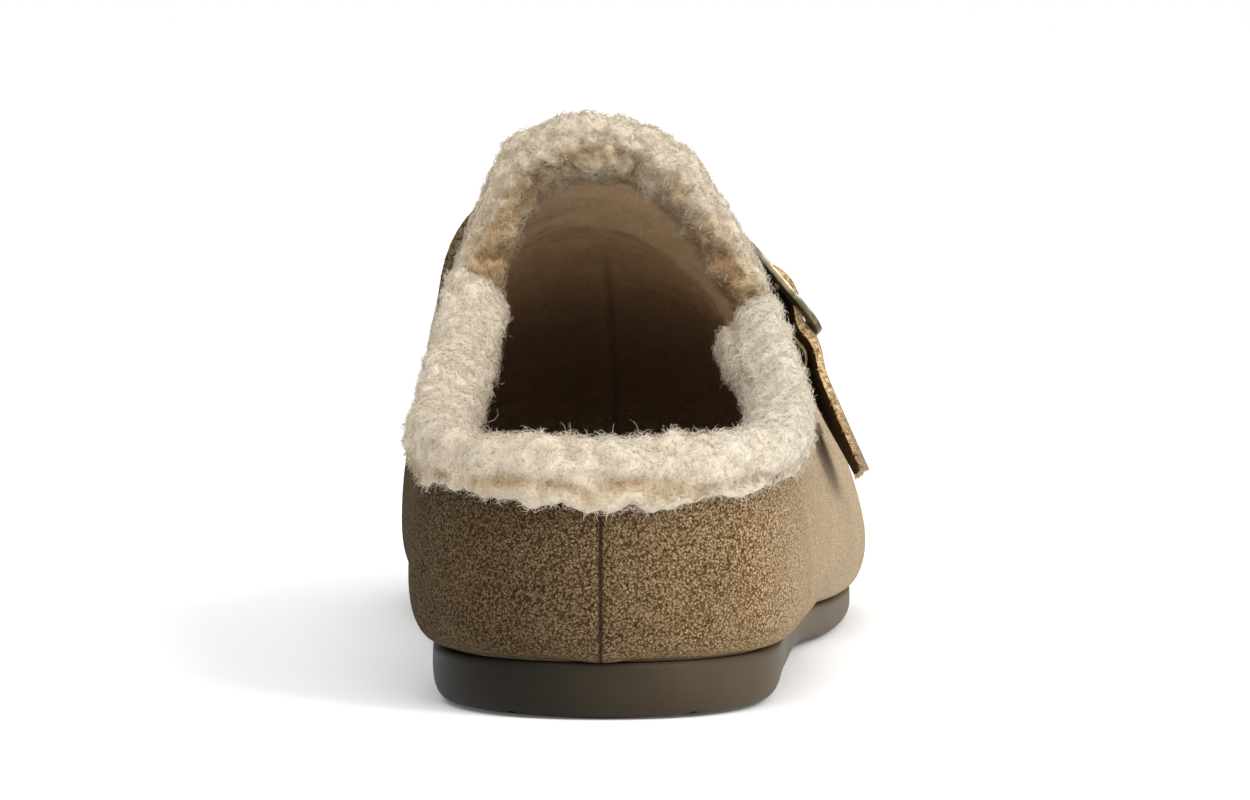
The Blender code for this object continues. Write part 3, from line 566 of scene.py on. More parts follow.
class Recipe:
    """One node material round a Principled shader, with helpers that return sockets."""

    def __init__(self, name):
        self.material = bpy.data.materials.new(name)
        self.material.use_nodes = True
        self.tree = self.material.node_tree
        self.shader = self.tree.nodes["Principled BSDF"]
        self.place = self.node("TexCoord").outputs["Object"]

    def put(self, socket, value):
        if isinstance(value, bpy.types.NodeSocket):
            self.tree.links.new(value, socket)
        elif socket.type == "RGBA":
            socket.default_value = (*value[:3], 1.0)
        else:
            socket.default_value = value

    def fill(self, node, values):
        for name, value in values.items():
            self.put(node.inputs[name.replace("_", " ")], value)

    def done(self, **values):
        self.fill(self.shader, values)
        return self.material

    def node(self, kind, **values):
        """A new node with its named inputs."""
        node = self.tree.nodes.new("ShaderNode" + kind)
        self.fill(node, values)
        return node

    def noise(self, scale, detail=2.0, roughness=0.5, distortion=0.0, vector=None):
        node = self.node(
            "TexNoise", Vector=self.place if vector is None else vector, Scale=scale, Detail=detail,
            Roughness=roughness, Distortion=distortion,
        )
        return node.outputs["Fac"]

    def cells(self, scale):
        """How far each place is from the middle of its random cell, in cells."""
        return self.node("TexVoronoi", Vector=self.place, Scale=scale).outputs["Distance"]

    def stretched(self, x, y, z):
        return self.node("Mapping", Vector=self.place, Scale=(x, y, z)).outputs["Vector"]

    def math(self, operation, first, second=0.0):
        node = self.node("Math")
        node.operation = operation
        self.put(node.inputs[0], first)
        self.put(node.inputs[1], second)
        return node.outputs[0]

    def gap(self, value, middle):
        """How far a value is from a middle one."""
        return self.math("ABSOLUTE", self.math("SUBTRACT", value, middle))

    def blend(self, first, second, weight):
        """Two heights as one, the first with the given weight."""
        rest = self.math("MULTIPLY", second, 1 - weight)
        return self.math("ADD", self.math("MULTIPLY", first, weight), rest)

    def remap(self, value, low, high, to_low=0.0, to_high=1.0):
        node = self.node(
            "MapRange", Value=value, From_Min=low, From_Max=high, To_Min=to_low, To_Max=to_high
        )
        node.interpolation_type = "SMOOTHSTEP"
        return node.outputs["Result"]

    def mix(self, factor, first, second, blend="MIX"):
        node = self.node("Mix")
        node.data_type = "RGBA"
        node.blend_type = blend
        self.put(node.inputs[0], factor)
        self.put(node.inputs[6], first)
        self.put(node.inputs[7], second)
        return node.outputs[2]

    def ramp(self, value, *stops):
        node = self.node("ValToRGB", Fac=value)
        elements = node.color_ramp.elements
        while len(elements) < len(stops):
            elements.new(0.5)
        for element, (place, tint) in zip(elements, stops):
            element.position = place
            element.color = (*tint[:3], 1.0)
        return node.outputs["Color"]

    def axis(self, name):
        return self.node("SeparateXYZ", Vector=self.place).outputs[name]

    def painted_side_light(self, tint, inner, outer):
        """A colour that grows lighter from the shoe's inner side to its outer side: painted shade on the
        inner side and painted light on the outer side.
        """
        across = self.remap(self.axis("X"), -20 * MM, 52 * MM, inner, outer)
        return self.mix(1.0, tint, across, "MULTIPLY")

    def attribute(self, name):
        node = self.node("Attribute")
        node.attribute_name = name
        return node.outputs["Fac"]

    def bump(self, height, strength, distance, below=None):
        node = self.node("Bump", Height=height, Strength=strength, Distance=distance)
        if below is not None:
            self.put(node.inputs["Normal"], below)
        return node.outputs["Normal"]


def suede_material(look, name="suede", sheen=0.02):
    recipe = Recipe(name)
    tufts = recipe.remap(recipe.cells(1.0 / look.grain), 0.25, 0.80, 1.0, 0.0)
    fine = recipe.remap(recipe.noise(1.8 / look.grain, 2.0, 0.6, 0.8), 0.3, 0.7)
    height = recipe.blend(tufts, fine, 0.40)
    tint = recipe.ramp(height, (0.20, look.dark), (0.52, look.middle), (0.95, look.light))
    patch = recipe.noise(42.0, 3.0, 0.55, 0.5)
    tint = recipe.mix(recipe.remap(patch, 0.40, 0.70, 0.0, 0.25), tint, look.dark)
    wiped = recipe.noise(95.0, 3.0, 0.6, 0.8)
    tint = recipe.mix(recipe.remap(wiped, 0.55, 0.75, 0.0, 0.18), tint, look.light)
    soiled = recipe.remap(recipe.axis("Z"), 9 * MM, 14 * MM, 0.18, 0.0)
    tint = recipe.mix(soiled, tint, look.light)
    # Painted shade on the inner side and painted light on the outer side
    tint = recipe.painted_side_light(tint, 0.50, 2.0)
    # Painted sheen: the outermost part of the outer side grows pale, as light grazing the nap would make
    # it
    tint = recipe.mix(recipe.remap(recipe.axis("X"), 22 * MM, 42 * MM, 0.0, 0.45), tint, look.pale)
    beside = recipe.gap(recipe.axis("X"), SEAM_X)
    ragged = recipe.math("ADD", beside, recipe.math("MULTIPLY", recipe.noise(900.0, 2.0), -0.5 * MM))
    furrow = recipe.remap(ragged, -0.10 * MM, 0.30 * MM, 1.0, 0.0)
    behind = recipe.remap(recipe.axis("Y"), -112 * MM, -100 * MM, 1.0, 0.0)
    seam = recipe.math("MULTIPLY", recipe.math("MULTIPLY", furrow, behind), 0.85)
    tint = recipe.mix(seam, tint, look.thread)
    return recipe.done(
        Base_Color=tint, Roughness=0.95, Normal=recipe.bump(height, 1.0, look.relief), Sheen_Weight=sheen,
        Sheen_Roughness=0.35, Sheen_Tint=(0.95, 0.84, 0.68), Specular_IOR_Level=0.05,
    )


def edge_material(look):
    recipe = Recipe("suede_cut_edge")
    hairs = recipe.noise(1500.0, 3.0, 0.65, 0.8)
    tufts = recipe.noise(620.0, 2.0, 0.5, 1.6)
    height = recipe.blend(hairs, tufts, 0.5)
    tint = recipe.ramp(height, (0.40, look.middle), (0.49, look.edge), (0.58, look.frayed))
    # Painted shade on the inner side and painted light on the outer side
    tint = recipe.painted_side_light(tint, 0.25, 1.1)
    return recipe.done(
        Base_Color=tint, Roughness=0.95, Normal=recipe.bump(height, 0.9, 0.4 * MM), Sheen_Weight=0.15,
        Sheen_Roughness=0.5, Sheen_Tint=(0.95, 0.84, 0.66), Specular_IOR_Level=0.15,
    )


def edge_fibre_material(look):
    recipe = Recipe("suede_fibres")
    tone = recipe.attribute("tone")
    tint = recipe.ramp(tone, (0.0, look.middle), (0.5, look.edge), (1.0, look.frayed))
    # Painted shade on the inner side and painted light on the outer side
    tint = recipe.painted_side_light(tint, 0.25, 1.1)
    return recipe.done(Base_Color=tint, Roughness=0.9, Specular_IOR_Level=0.12)


def flesh_shade_material(look):
    """Inner side of the strap: its flesh side, darkened as painted shade."""
    recipe = Recipe("suede_flesh_painted_shade")
    hairs = recipe.noise(1200.0, 3.0, 0.6, 1.2)
    tint = recipe.ramp(hairs, (0.35, look.dark), (0.70, look.middle))
    return recipe.done(
        Base_Color=recipe.mix(0.35, tint, look.dark), Roughness=0.95,
        Normal=recipe.bump(hairs, 0.6, 0.2 * MM), Specular_IOR_Level=0.08,
    )


def pile_tint(recipe, look, name):
    """The cuffs' colour by an attribute of the mesh: from painted shade, through the hollows of the pile,
    partly painted shade, to its lighter ends.
    """
    level = recipe.attribute(name)
    return recipe.ramp(level, (0.0, look.shade), (0.25, look.root), (0.55, look.body), (0.95, look.tip))


def fleece_material(look):
    """Pile as a mass, under its separate fibres."""
    recipe = Recipe("fleece")
    strands = recipe.noise(900.0, 3.0, 0.62, 2.0)
    tint = pile_tint(recipe, look, "height")
    tint = recipe.mix(recipe.remap(strands, 0.52, 0.36, 0.0, 0.35), tint, look.root)
    return recipe.done(
        Base_Color=tint, Roughness=0.95, Normal=recipe.bump(strands, 0.8, 0.5 * MM), Sheen_Weight=0.25,
        Sheen_Roughness=0.5, Sheen_Tint=(1.0, 0.95, 0.86), Specular_IOR_Level=0.1,
    )


def fibre_material(look):
    recipe = Recipe("fleece_fibres")
    tint = pile_tint(recipe, look, "tone")
    tint = recipe.mix(recipe.remap(recipe.noise(120.0, 2.0), 0.5, 0.72, 0.0, 0.2), tint, look.body)
    return recipe.done(
        Base_Color=tint, Roughness=0.8, Sheen_Weight=0.2, Sheen_Roughness=0.45,
        Sheen_Tint=(1.0, 0.96, 0.88), Specular_IOR_Level=0.15,
    )


def lining_tint(recipe, look, tint):
    """Cream-brown at the opening, with painted shade deep in the toe and along the wrinkles."""
    wander = recipe.math("MULTIPLY", recipe.noise(70.0, 2.0), 10 * MM)
    depth = recipe.math("ADD", recipe.axis("Y"), wander)
    # Painted shade that grows deeper into the toe
    tint = recipe.mix(recipe.remap(depth, 42 * MM, 84 * MM), tint, look.toe)
    beside = recipe.gap(recipe.axis("X"), LINING_SEAM_X)
    sewn = recipe.remap(beside, 0.1 * MM, 1.6 * MM, 0.28, 0.0)
    sewn = recipe.math("MULTIPLY", sewn, recipe.remap(depth, 26 * MM, 44 * MM))
    tint = recipe.mix(sewn, tint, look.toe_seam)
    broken = recipe.remap(recipe.noise(55.0, 2.0), 0.46, 0.60, 0.0, 0.4)
    # Each wrinkle is drawn as a broken line of painted shade
    for wrinkle in LINING_WRINKLES:
        off = recipe.gap(depth, wrinkle)
        line = recipe.math("MULTIPLY", recipe.remap(off, 0.2 * MM, 1.1 * MM, 1.0, 0.0), broken)
        tint = recipe.mix(line, tint, look.toe)
    return tint


def lining_material(look):
    recipe = Recipe("fleece_lining")
    strands = recipe.noise(1100.0, 3.0, 0.6, 1.8)
    cloud = recipe.noise(170.0, 3.0, 0.55, 0.5)
    tint = recipe.ramp(strands, (0.34, look.lining_root), (0.56, look.lining), (0.75, look.body))
    tint = recipe.mix(recipe.remap(cloud, 0.58, 0.38, 0.0, 0.5), tint, look.lining_root)
    normal = recipe.bump(strands, 0.7, 0.5 * MM, recipe.bump(cloud, 0.6, 1.2 * MM))
    return recipe.done(
        Base_Color=lining_tint(recipe, look, tint), Roughness=0.96, Normal=normal, Sheen_Weight=0.15,
        Sheen_Roughness=0.5, Sheen_Tint=(1.0, 0.90, 0.76), Specular_IOR_Level=0.1,
    )


def lining_fibre_material(look):
    recipe = Recipe("lining_fibres")
    tone = recipe.attribute("tone")
    tint = recipe.ramp(tone, (0.0, look.lining_root), (0.6, look.lining), (1.0, look.body))
    return recipe.done(
        Base_Color=lining_tint(recipe, look, tint), Roughness=0.85, Sheen_Weight=0.15,
        Sheen_Roughness=0.5, Sheen_Tint=(1.0, 0.90, 0.76), Specular_IOR_Level=0.12,
    )


def rubber_material(look):
    recipe = Recipe("moulded_rubber")
    cloud = recipe.noise(26.0, 4.0, 0.55, 0.3)
    grain = recipe.noise(2600.0, 2.0, 0.5)
    tint = recipe.mix(recipe.remap(cloud, 0.40, 0.75, 0.0, 0.45), look.rubber, look.worn)
    low = recipe.remap(recipe.axis("Z"), 0.6 * MM, 3.2 * MM, 1.0, 0.0)
    dust = recipe.math("MULTIPLY", low, recipe.remap(recipe.noise(300.0, 4.0, 0.7), 0.45, 0.7, 0.0, 0.5))
    tint = recipe.mix(dust, tint, look.worn)
    # Painted shade on the inner side and painted light on the outer side
    tint = recipe.painted_side_light(tint, 0.26, 2.5)
    rough = recipe.remap(cloud, 0.3, 0.7, 0.46, 0.56)
    rough = recipe.math("ADD", rough, recipe.math("MULTIPLY", dust, 0.3))
    return recipe.done(
        Base_Color=tint, Roughness=rough, Normal=recipe.bump(grain, 0.12, 0.08 * MM),
        Specular_IOR_Level=0.14,
    )


def footbed_material(look):
    recipe = Recipe("footbed")
    felt = recipe.noise(1300.0, 3.0, 0.65, 1.0)
    cloud = recipe.noise(55.0, 3.0)
    light = tuple(min(1.0, channel * 2.1) for channel in look.footbed)
    tint = recipe.ramp(felt, (0.35, look.footbed), (0.68, light))
    tint = recipe.mix(recipe.remap(cloud, 0.45, 0.7, 0.0, 0.4), tint, look.footbed)
    return recipe.done(
        Base_Color=tint, Roughness=0.95, Normal=recipe.bump(felt, 0.6, 0.25 * MM), Sheen_Weight=0.15,
        Sheen_Roughness=0.5, Sheen_Tint=(0.7, 0.5, 0.35), Specular_IOR_Level=0.15,
    )


def brass_material(look):
    recipe = Recipe("antique_brass")
    cloud = recipe.noise(210.0, 4.0, 0.6, 0.6)
    brushed = recipe.noise(1.0, 3.0, 0.6, vector=recipe.stretched(2600.0, 500.0, 500.0))
    tint = recipe.mix(recipe.remap(cloud, 0.36, 0.60, 0.25, 0.95), look.metal, look.patina)
    rough = recipe.remap(cloud, 0.35, 0.7, look.roughness, look.roughness + 0.22)
    rough = recipe.math("ADD", rough, recipe.math("MULTIPLY", brushed, 0.08))
    return recipe.done(
        Base_Color=tint, Metallic=1.0, Roughness=rough, Normal=recipe.bump(brushed, 0.10, 0.05 * MM)
    )


# Pieces


def back_trough(place, look):
    """How far the back seam draws the suede in at a place, negative where it swells beside it."""
    off = abs(place.x - SEAM_X)
    gather = 0.75 + 0.25 * noise.noise(Vector((0.0, 3.7, place.z / (2.4 * MM))))
    above = within((place.z - SEAM_FOOT) / SEAM_FADE)
    furrow = look.seam_depth * gather * bell(off, look.seam_width)
    pillow = 0.22 * MM * bell(off - 2.6 * MM, 1.5 * MM)
    return (furrow - pillow) * above


def crease_depth(place):
    """How deep the soft troughs of the upper are at a place."""
    total = 0.0
    for crease in CREASES:
        away = place - Vector(crease.middle)
        way = Vector(crease.way).normalized()
        along = away.dot(way)
        off = (away - way * along).length
        fade = (off / (crease.width * MM)) ** 2 + (along / (crease.reach * MM)) ** 4
        total += crease.depth * MM * math.exp(-fade)
    return total


def upper_wall():
    """The upper as a smooth shape, and how far its wall reaches behind each face."""
    shape = rounded(merged_copy("upper", UPPER_SLIVER), levels=2, sharp=50)
    return shape, through(shape)


def cut_seam_loops(shape):
    """Adds edges beside the back seam, so that the suede can draw in there."""
    for step in SEAM_LOOPS:
        for sign in (1, -1) if step else (1,):
            heel = [face for face in shape.faces if face.calc_center_median().y < SEAM_BACK]
            near = {item for face in heel for item in (*face.verts, *face.edges)}
            bmesh.ops.bisect_plane(
                shape, geom=[*heel, *near], dist=WELD,
                plane_co=(SEAM_X + sign * step * MM, 0, 0), plane_no=(1, 0, 0),
            )
    shape.normal_update()


class CLOG_OT_upper(bpy.types.Operator):
    """Suede shell with its back seam and soft creases"""

    bl_idname = "clog.upper"
    bl_label = "Suede upper"

    def execute(self, context):
        look = context.scene.clog_suede
        shape, depths = upper_wall()
        keep_faces(shape, lambda face: depths[face] < RIM_DEPTH and faces_out(face))
        cut_seam_loops(shape)
        for vert in shape.verts:
            inward = crease_depth(vert.co)
            if vert.co.y < SEAM_BACK:
                inward += back_trough(vert.co, look)
                foot = bell(vert.co.x - SEAM_X, 4.5 * MM) * bell(vert.co.z - SEAM_FOOT, 3.0 * MM)
                vert.co += Vector((0.0, -0.8 * MM, -0.5 * MM)) * foot
            if vert.is_boundary and vert.co.z < RIM_HEIGHTS[0] / 2:
                wave = 1.0 + 0.5 * noise.noise(vert.co / (2.2 * MM))
                vert.co.z -= look.tuck * wave
            vert.co -= vert.normal * inward
        shape = thicken(shape, look.thickness)
        finished(shape, "suede_upper", [suede_material(look)], ["upper"])
        return {"FINISHED"}


def in_toe(face):
    """Whether a face lies on the end wall of the toe, which a ray crosses at a slant."""
    return face.calc_center_median().y > INSIDE_FRONT and face.normal.z > -0.7


class CLOG_OT_lining(bpy.types.Operator):
    """Fleece lining inside the upper, with painted shade deep in the toe"""

    bl_idname = "clog.lining"
    bl_label = "Lining"

    def execute(self, context):
        look = context.scene.clog_fleece
        shape, depths = upper_wall()

        def inside(face):
            return in_toe(face) or depths[face] < RIM_DEPTH and face.normal.y > -0.8

        keep_faces(shape, lambda face: not faces_out(face) and inside(face))
        for vert in shape.verts:
            pile = 0.35 * lumps(vert.co, look.curl * 1.2)
            ridge = bell(vert.co.y - 8 * MM, 2.4 * MM) * 0.9
            ridge *= within((vert.co.z - 30 * MM) / (14 * MM))
            above = within((vert.co.z - FOOTBED_TOP) / (8 * MM))
            vert.co += vert.normal * ((pile + ridge) * above + 0.5 * (1 - above)) * MM
        shape = thicken(shape, look.lining_thickness)
        data = finished(shape, "fleece_lining", [lining_material(look)]).data

        def seen(face):
            return face.center.y < INSIDE_FRONT and not looks_out(face.center, face.normal)

        grow_fuzz(data, seen, LINING_FUZZ, look.fine, lining_fibre_material(look))
        return {"FINISHED"}


def rim_height(place):
    return float(np.interp(place.y, RIM_PLACES, RIM_HEIGHTS))


def roll_valley(place):
    """0 to 1 in the long hollow along the outside of the heel cuff."""
    narrow = float(np.interp(place.y, VALLEY_PLACES, VALLEY_WIDTHS))
    middle = rim_height(place) - 4.0 * MM * narrow + 1.2 * MM * noise.noise(place / (8 * MM))
    broken = 0.75 + 0.5 * noise.noise(place / (5 * MM))
    return broken * bell(place.z - middle, 1.7 * MM * narrow)


def heel_shade(place, normal):
    """How much darker the heel cuff's pile is at a place, as painted shade under the roll and down its
    inside, and lighter as painted light towards the outer side.
    """
    painted_outer_light = 0.30 * soft((place.x - 5 * MM) / (25 * MM))
    if looks_out(place, normal):
        return 0.58 * roll_valley(place) - painted_outer_light
    below = (rim_height(place) - place.z) / MM
    return 0.22 * soft((below + 3.0) / 8.0) - painted_outer_light


def vamp_shade(place, normal):
    """The same for the vamp cuff: painted shade at both feet and on the inner side, and where it turns
    into the lining, partly the lining's brown and partly painted shade.
    """
    out = turned_out(place, normal)
    foot = 0.35 * soft((87 * MM - place.z) / (18 * MM)) * soft((0.75 - out) / 0.4)
    inner = 0.14 * soft((-4 * MM - place.x) / (22 * MM))
    tuft = 0.16 * lumps(place, 7 * MM)
    return foot + inner + soft((0.15 - out) / 0.55) * (0.42 - tuft)


def cuff_mass(node, look, wall, shade, rolled):
    """A cuff's mass of pile: lumps, curls and, on a rolled cuff, a long hollow and a ragged edge."""
    shape = rounded(merged_copy(node), levels=3)
    body = BVHTree.FromBMesh(shape)
    deepest = 0.75 if rolled else 0.4
    layer = shape.verts.layers.float.new("height")
    for vert in shape.verts:
        out = looks_out(vert.co, vert.normal)
        hidden = wall.ray_cast(vert.co, vert.normal, TOUCHING)[0] is not None
        room = body.ray_cast(vert.co - vert.normal * WELD, -vert.normal)[3] or 0.0
        high = lumps(vert.co, look.curl)
        small = noise.noise(vert.co / (1.9 * MM))
        fine = noise.noise(vert.co / (0.8 * MM))
        # Lighter on the lumps and darker in their hollows, partly the pile's own tone and partly painted
        # shade, then the painted shade from shade() is taken off
        vert[layer] = 0.66 + 0.12 * high + 0.08 * small + 0.04 * fine - shade(vert.co, vert.normal)
        rise = look.swell * (0.5 * high + 0.22 * small) + 0.12 * MM * fine
        if not rolled:
            rise *= 1.2 if out else 2.2
        sink = look.sink if out else 0.0
        if rolled:
            nearest, facing, _, _ = wall.find_nearest(vert.co)
            level = Vector((vert.co.x, vert.co.y, 0.0))
            top = soft((vert.co.z - rim_height(vert.co)) / (4 * MM))
            vert.co.z += top * (0.8 * lumps(level, 6.5 * MM) + 0.4 * noise.noise(level / (1.8 * MM))) * MM
            if looks_out(nearest, facing):
                below = soft((rim_height(vert.co) - 1.5 * MM - vert.co.z) / (4 * MM))
                sink = sink * (1 - 1.6 * below) + 1.8 * MM * roll_valley(vert.co)
                ragged = lumps(level, 5.2 * MM) + 0.5 * noise.noise(level / (1.8 * MM))
                vert.co.z -= below * (0.4 + ragged) * MM
        if not hidden:
            vert.co += vert.normal * max(rise - sink, -deepest * room)
    return finished(shape, node + "_fleece", [fleece_material(look)], [node])


def cuff_pile(mass, name, look, wall, pieces, seed):
    """Curled fibres on a cuff, apart from where it lies against the upper, in one or two pieces."""

    def free(face):
        hit, facing, _, _ = wall.ray_cast(face.center, face.normal, TOUCHING)
        return hit is None or facing.dot(face.normal) > 0

    heights = table(mass.data.attributes["height"].data, "value", 1)[:, 0]
    chance = np.random.default_rng(seed)
    for k in range(pieces):
        places, outward, owners = scatter(mass.data, CUFF_FIBRES, seed + 11 * k, free)
        paths = curls(places, outward, look.fibre, seed + 7 * k)
        high = np.array([heights[list(mass.data.polygons[int(o)].vertices)].mean() for o in owners])
        tones = (high + chance.uniform(-0.10, 0.14, size=len(high)))[:, None]
        tones = tones + np.array([[-0.05, 0.02, 0.10, 0.15]])
        widths = look.fine * chance.uniform(0.7, 1.2, size=len(paths))
        part = name + "_pile_" + "ab"[k]
        data = spikes(part, paths, widths, np.clip(tones, 0, 1))
        finished_mesh(data, part, [bpy.data.materials["fleece_fibres"]])


def loose_fibres(name, look, groups):
    """Long stray fibres of the cuffs, in one piece."""
    place_seed, path_seed, tone_seed = 900, 950, 77
    paths = []
    for k, strays in enumerate(groups):
        places, outward, _ = scatter(strays.cuff.data, strays.count, place_seed + k, strays.chosen)
        paths.append(hooks(places, outward, strays, path_seed + k))
    paths = np.concatenate(paths)
    chance = np.random.default_rng(tone_seed)
    tones = chance.uniform(0.55, 1.0, size=(len(paths), 1)) + np.zeros((1, paths.shape[1]))
    data = spikes(name, paths, np.full(len(paths), look.fine * 0.8), tones)
    finished_mesh(data, name, [bpy.data.materials["fleece_fibres"]])


class CLOG_OT_cuffs(bpy.types.Operator):
    """Fleece cuffs round the heel and over the instep"""

    bl_idname = "clog.cuffs"
    bl_label = "Fleece cuffs"

    def execute(self, context):
        look = context.scene.clog_fleece
        fibre_material(look)
        source = bmesh.new()
        source.from_mesh(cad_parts["upper"].data)
        wall = BVHTree.FromBMesh(source)
        source.free()
        heel = cuff_mass("heel_cuff", look, wall, heel_shade, rolled=True)
        cuff_pile(heel, "heel_cuff", look, wall, pieces=2, seed=101)
        vamp = cuff_mass("vamp_cuff", look, wall, vamp_shade, rolled=False)
        cuff_pile(vamp, "vamp_cuff", look, wall, pieces=1, seed=202)

        def out(face):
            return looks_out(face.center, face.normal)

        def at_inner_edge(face):
            return face.normal.z > 0.15 and not out(face) or face.normal.z > 0.75

        def at_lower_edge(face):
            return out(face) and face.center.z < rim_height(face.center) - 2.8 * MM

        def inside(face):
            return not out(face) and face.center.z > rim_height(face.center) - 4 * MM

        def turning_in(face):
            return -0.6 < turned_out(face.center, face.normal) < 0.1

        groups = (
            Strays(heel, at_inner_edge, 900, 0.65 * look.stray, 0.9, 3.4, 0.0),
            Strays(heel, inside, 160, look.stray, 1.0, 3.0, 0.0),
            Strays(heel, at_lower_edge, 2200, 0.42 * look.stray, 0.4, 2.2, 0.8),
            Strays(vamp, turning_in, 600, 0.5 * look.stray, 0.7, 3.0, 0.2),
        )
        loose_fibres("cuff_strays", look, groups)
        return {"FINISHED"}


class CLOG_OT_strap(bpy.types.Operator):
    """Instep strap and buckle tab with their raw edges"""

    bl_idname = "clog.strap"
    bl_label = "Strap and tab"

    def execute(self, context):
        look = context.scene.clog_suede
        materials = [suede_material(look, "strap_suede", 1.0), edge_material(look), flesh_shade_material(look)]
        for band in (STRAP, TAB):
            shape = merged_copy(band.node)
            soften_edges(shape, angle=50, width=band.bevel)
            shape = rounded(shape, levels=1, sharp=60)
            depths = through(shape)
            for face in shape.faces:
                # Faces that look into the shoe get the flesh side's painted shade
                inner = turned_out(face.calc_center_median(), face.normal) < -0.5
                side = FLESH_SHADE if inner else NAP
                face.material_index = CUT if depths[face] > band.thick * 1.5 else side
            data = finished(shape, band.piece, materials, [band.node]).data
            if band is STRAP:
                fibres = edge_fibre_material(look)
                grow_fuzz(data, lambda face: face.material_index == CUT, EDGE_FUZZ, EDGE_HAIR, fibres)
        return {"FINISHED"}


class CLOG_OT_buckle(bpy.types.Operator):
    """Antique brass buckle frame and prong"""

    bl_idname = "clog.buckle"
    bl_label = "Buckle"

    def execute(self, context):
        brass = brass_material(context.scene.clog_brass)
        for node, name in (("buckle_frame", "buckle"), ("buckle_prong", "prong")):
            shape = rounded(merged_copy(node), levels=1, sharp=70)
            finished(shape, name, [brass], [node])
        return {"FINISHED"}


def tread_bars(shape, look):
    """Bars for the tread's grooves, inside a plain border, where the sole lies on the floor."""
    bars = bmesh.new()
    low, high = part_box("outsole")
    count = int((high[1] - low[1] - 2 * look.border) / look.pitch)
    for k in range(count + 1):
        y = low[1] + look.border + k * look.pitch
        near = [vert.co for vert in shape.verts if abs(vert.co.y - y) < 4 * MM]
        beside = [place.x for place in near if place.z < 6 * MM]
        if not beside or min(place.z for place in near) > 0.25 * MM:
            continue
        left, right = min(beside) + look.border, max(beside) - look.border
        if right - left < look.pitch:
            continue
        size = Matrix.Diagonal((right - left, look.groove, 2 * look.depth, 1.0))
        middle = Matrix.Translation(((left + right) / 2, y, 0))
        bmesh.ops.create_cube(bars, size=1.0, matrix=middle @ size)
    return bars


class CLOG_OT_sole(bpy.types.Operator):
    """Rubber sole with a shallow ribbed tread, and the footbed"""

    bl_idname = "clog.sole"
    bl_label = "Sole and footbed"

    def execute(self, context):
        look = context.scene.clog_sole
        shape = rounded(merged_copy("outsole"), levels=2, sharp=60)
        shape = cut_with(shape, tread_bars(shape, look))
        finished(shape, "rubber_outsole", [rubber_material(look)], ["outsole"])
        shape = rounded(merged_copy("insole"), levels=2, sharp=70)
        footbed = finished(shape, "footbed", [footbed_material(look)], ["insole"])
        return {"FINISHED"}


# Stage


def stand_camera(look):
    eye = bpy.data.cameras.new("camera")
    eye.lens, eye.sensor_width = look.lens, 36.0
    eye.clip_start, eye.clip_end = 0.05, 100.0
    camera = placed("camera", eye)
    camera.location = look.eye
    camera.rotation_euler = (math.radians(look.tilt), 0.0, math.radians(look.turn))
    return camera


def lay_floor(look):
    """A wide matt floor just under the sole, which gives back a little light."""
    sheet = bmesh.new()
    bmesh.ops.create_grid(sheet, x_segments=8, y_segments=8, size=FLOOR_REACH)
    data = meshed(sheet, "floor")
    recipe = Recipe("pale_floor")
    cloud = recipe.remap(recipe.noise(3.0, 2.0), 0.3, 0.7)
    pale = recipe.done(
        Base_Color=recipe.mix(cloud, (0.93, 0.93, 0.93), (0.95, 0.95, 0.95)), Roughness=0.9,
        Specular_IOR_Level=0.1, Emission_Color=(1.0, 1.0, 1.0), Emission_Strength=look.floor_glow,
    )
    data.materials.append(pale)
    floor = placed("floor", data)
    floor.location.z = -FLOOR_DROP


def hang_lights(look):
    for name, energy, angle, source in (
        ("key", look.key, look.key_angle, (0.66, -0.50, 0.56)),
        ("top", look.top, look.top_angle, (-0.15, -0.75, 1.0)),
    ):
        sun = bpy.data.lights.new(name, "SUN")
        sun.energy, sun.angle = energy, math.radians(angle)
        lamp = placed(name, sun)
        lamp.rotation_euler = Vector(source).to_track_quat("Z", "Y").to_euler()


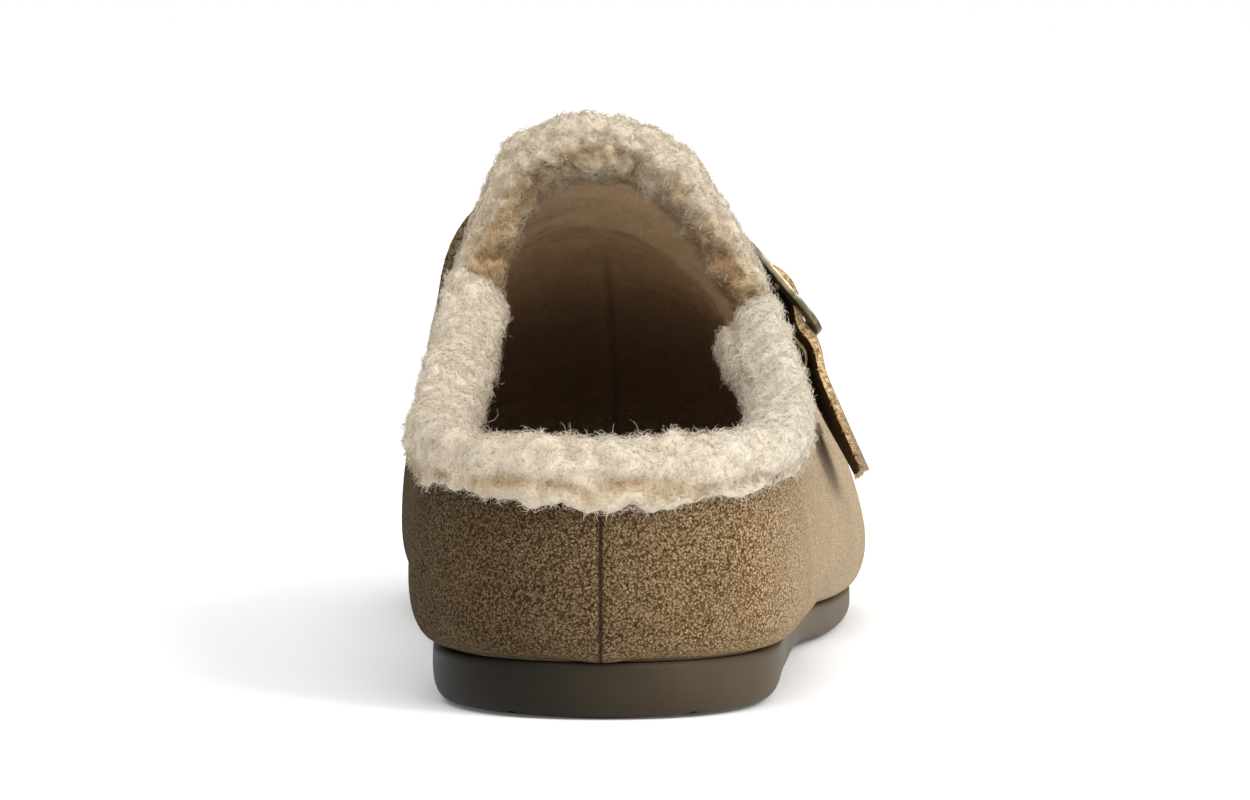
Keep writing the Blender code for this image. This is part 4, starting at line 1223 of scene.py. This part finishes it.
def white_surroundings(look):
    """A world that is brighter on the outer side, and plain white to the camera."""
    world = bpy.data.worlds.new("studio")
    world.use_nodes = True
    nodes, links = world.node_tree.nodes, world.node_tree.links
    glow = nodes["Background"]
    glow.inputs["Color"].default_value = (1.0, 1.0, 1.0, 1.0)
    toward = nodes.new("ShaderNodeSeparateXYZ")
    links.new(nodes.new("ShaderNodeTexCoord").outputs["Generated"], toward.inputs[0])
    strength = nodes.new("ShaderNodeMapRange")
    strength.inputs["From Min"].default_value = -1.0
    strength.inputs["To Min"].default_value = look.left
    strength.inputs["To Max"].default_value = look.right
    links.new(toward.outputs["X"], strength.inputs["Value"])
    seen = nodes.new("ShaderNodeMath")
    seen.operation = "MAXIMUM"
    links.new(strength.outputs["Result"], seen.inputs[0])
    links.new(nodes.new("ShaderNodeLightPath").outputs["Is Camera Ray"], seen.inputs[1])
    links.new(seen.outputs[0], glow.inputs["Strength"])
    return world


class CLOG_OT_stage(bpy.types.Operator):
    """Camera, pale floor and soft light"""

    bl_idname = "clog.stage"
    bl_label = "Stage"

    def execute(self, context):
        scene, look = context.scene, context.scene.clog_stage
        scene.camera = stand_camera(look)
        lay_floor(look)
        hang_lights(look)
        scene.world = white_surroundings(look)
        scene.view_settings.view_transform = "Standard"
        return {"FINISHED"}


# Panel and registration


class CLOG_PT_sidebar(bpy.types.Panel):
    """Lists the clog's pieces and settings"""

    bl_idname = "CLOG_PT_sidebar"
    bl_label = "House clog"
    bl_space_type = "VIEW_3D"
    bl_region_type = "UI"
    bl_category = "Clog"

    def draw(self, context):
        for step in STEPS:
            self.layout.operator(step.bl_idname)
        for name, group in SETTINGS.items():
            box = self.layout.box()
            box.label(text=group.__doc__)
            for setting in group.__annotations__:
                box.prop(getattr(context.scene, name), setting)


SETTINGS = {
    "clog_suede": ClogSuede,
    "clog_fleece": ClogFleece,
    "clog_sole": ClogSole,
    "clog_brass": ClogBrass,
    "clog_stage": ClogStage,
}
STEPS = (
    CLOG_OT_stage,
    CLOG_OT_upper,
    CLOG_OT_lining,
    CLOG_OT_cuffs,
    CLOG_OT_strap,
    CLOG_OT_buckle,
    CLOG_OT_sole,
)
CLASSES = (*SETTINGS.values(), *STEPS, CLOG_PT_sidebar)


def register():
    noise.seed_set(PILE_SEED)
    for item in CLASSES:
        bpy.utils.register_class(item)
    for name, group in SETTINGS.items():
        setattr(bpy.types.Scene, name, bpy.props.PointerProperty(type=group))


def unregister():
    for name in SETTINGS:
        delattr(bpy.types.Scene, name)
    for item in reversed(CLASSES):
        bpy.utils.unregister_class(item)


def main():
    register()
    for step in STEPS:
        group, name = step.bl_idname.split(".")
        getattr(getattr(bpy.ops, group), name)()


if __name__ == "__main__":
    main()
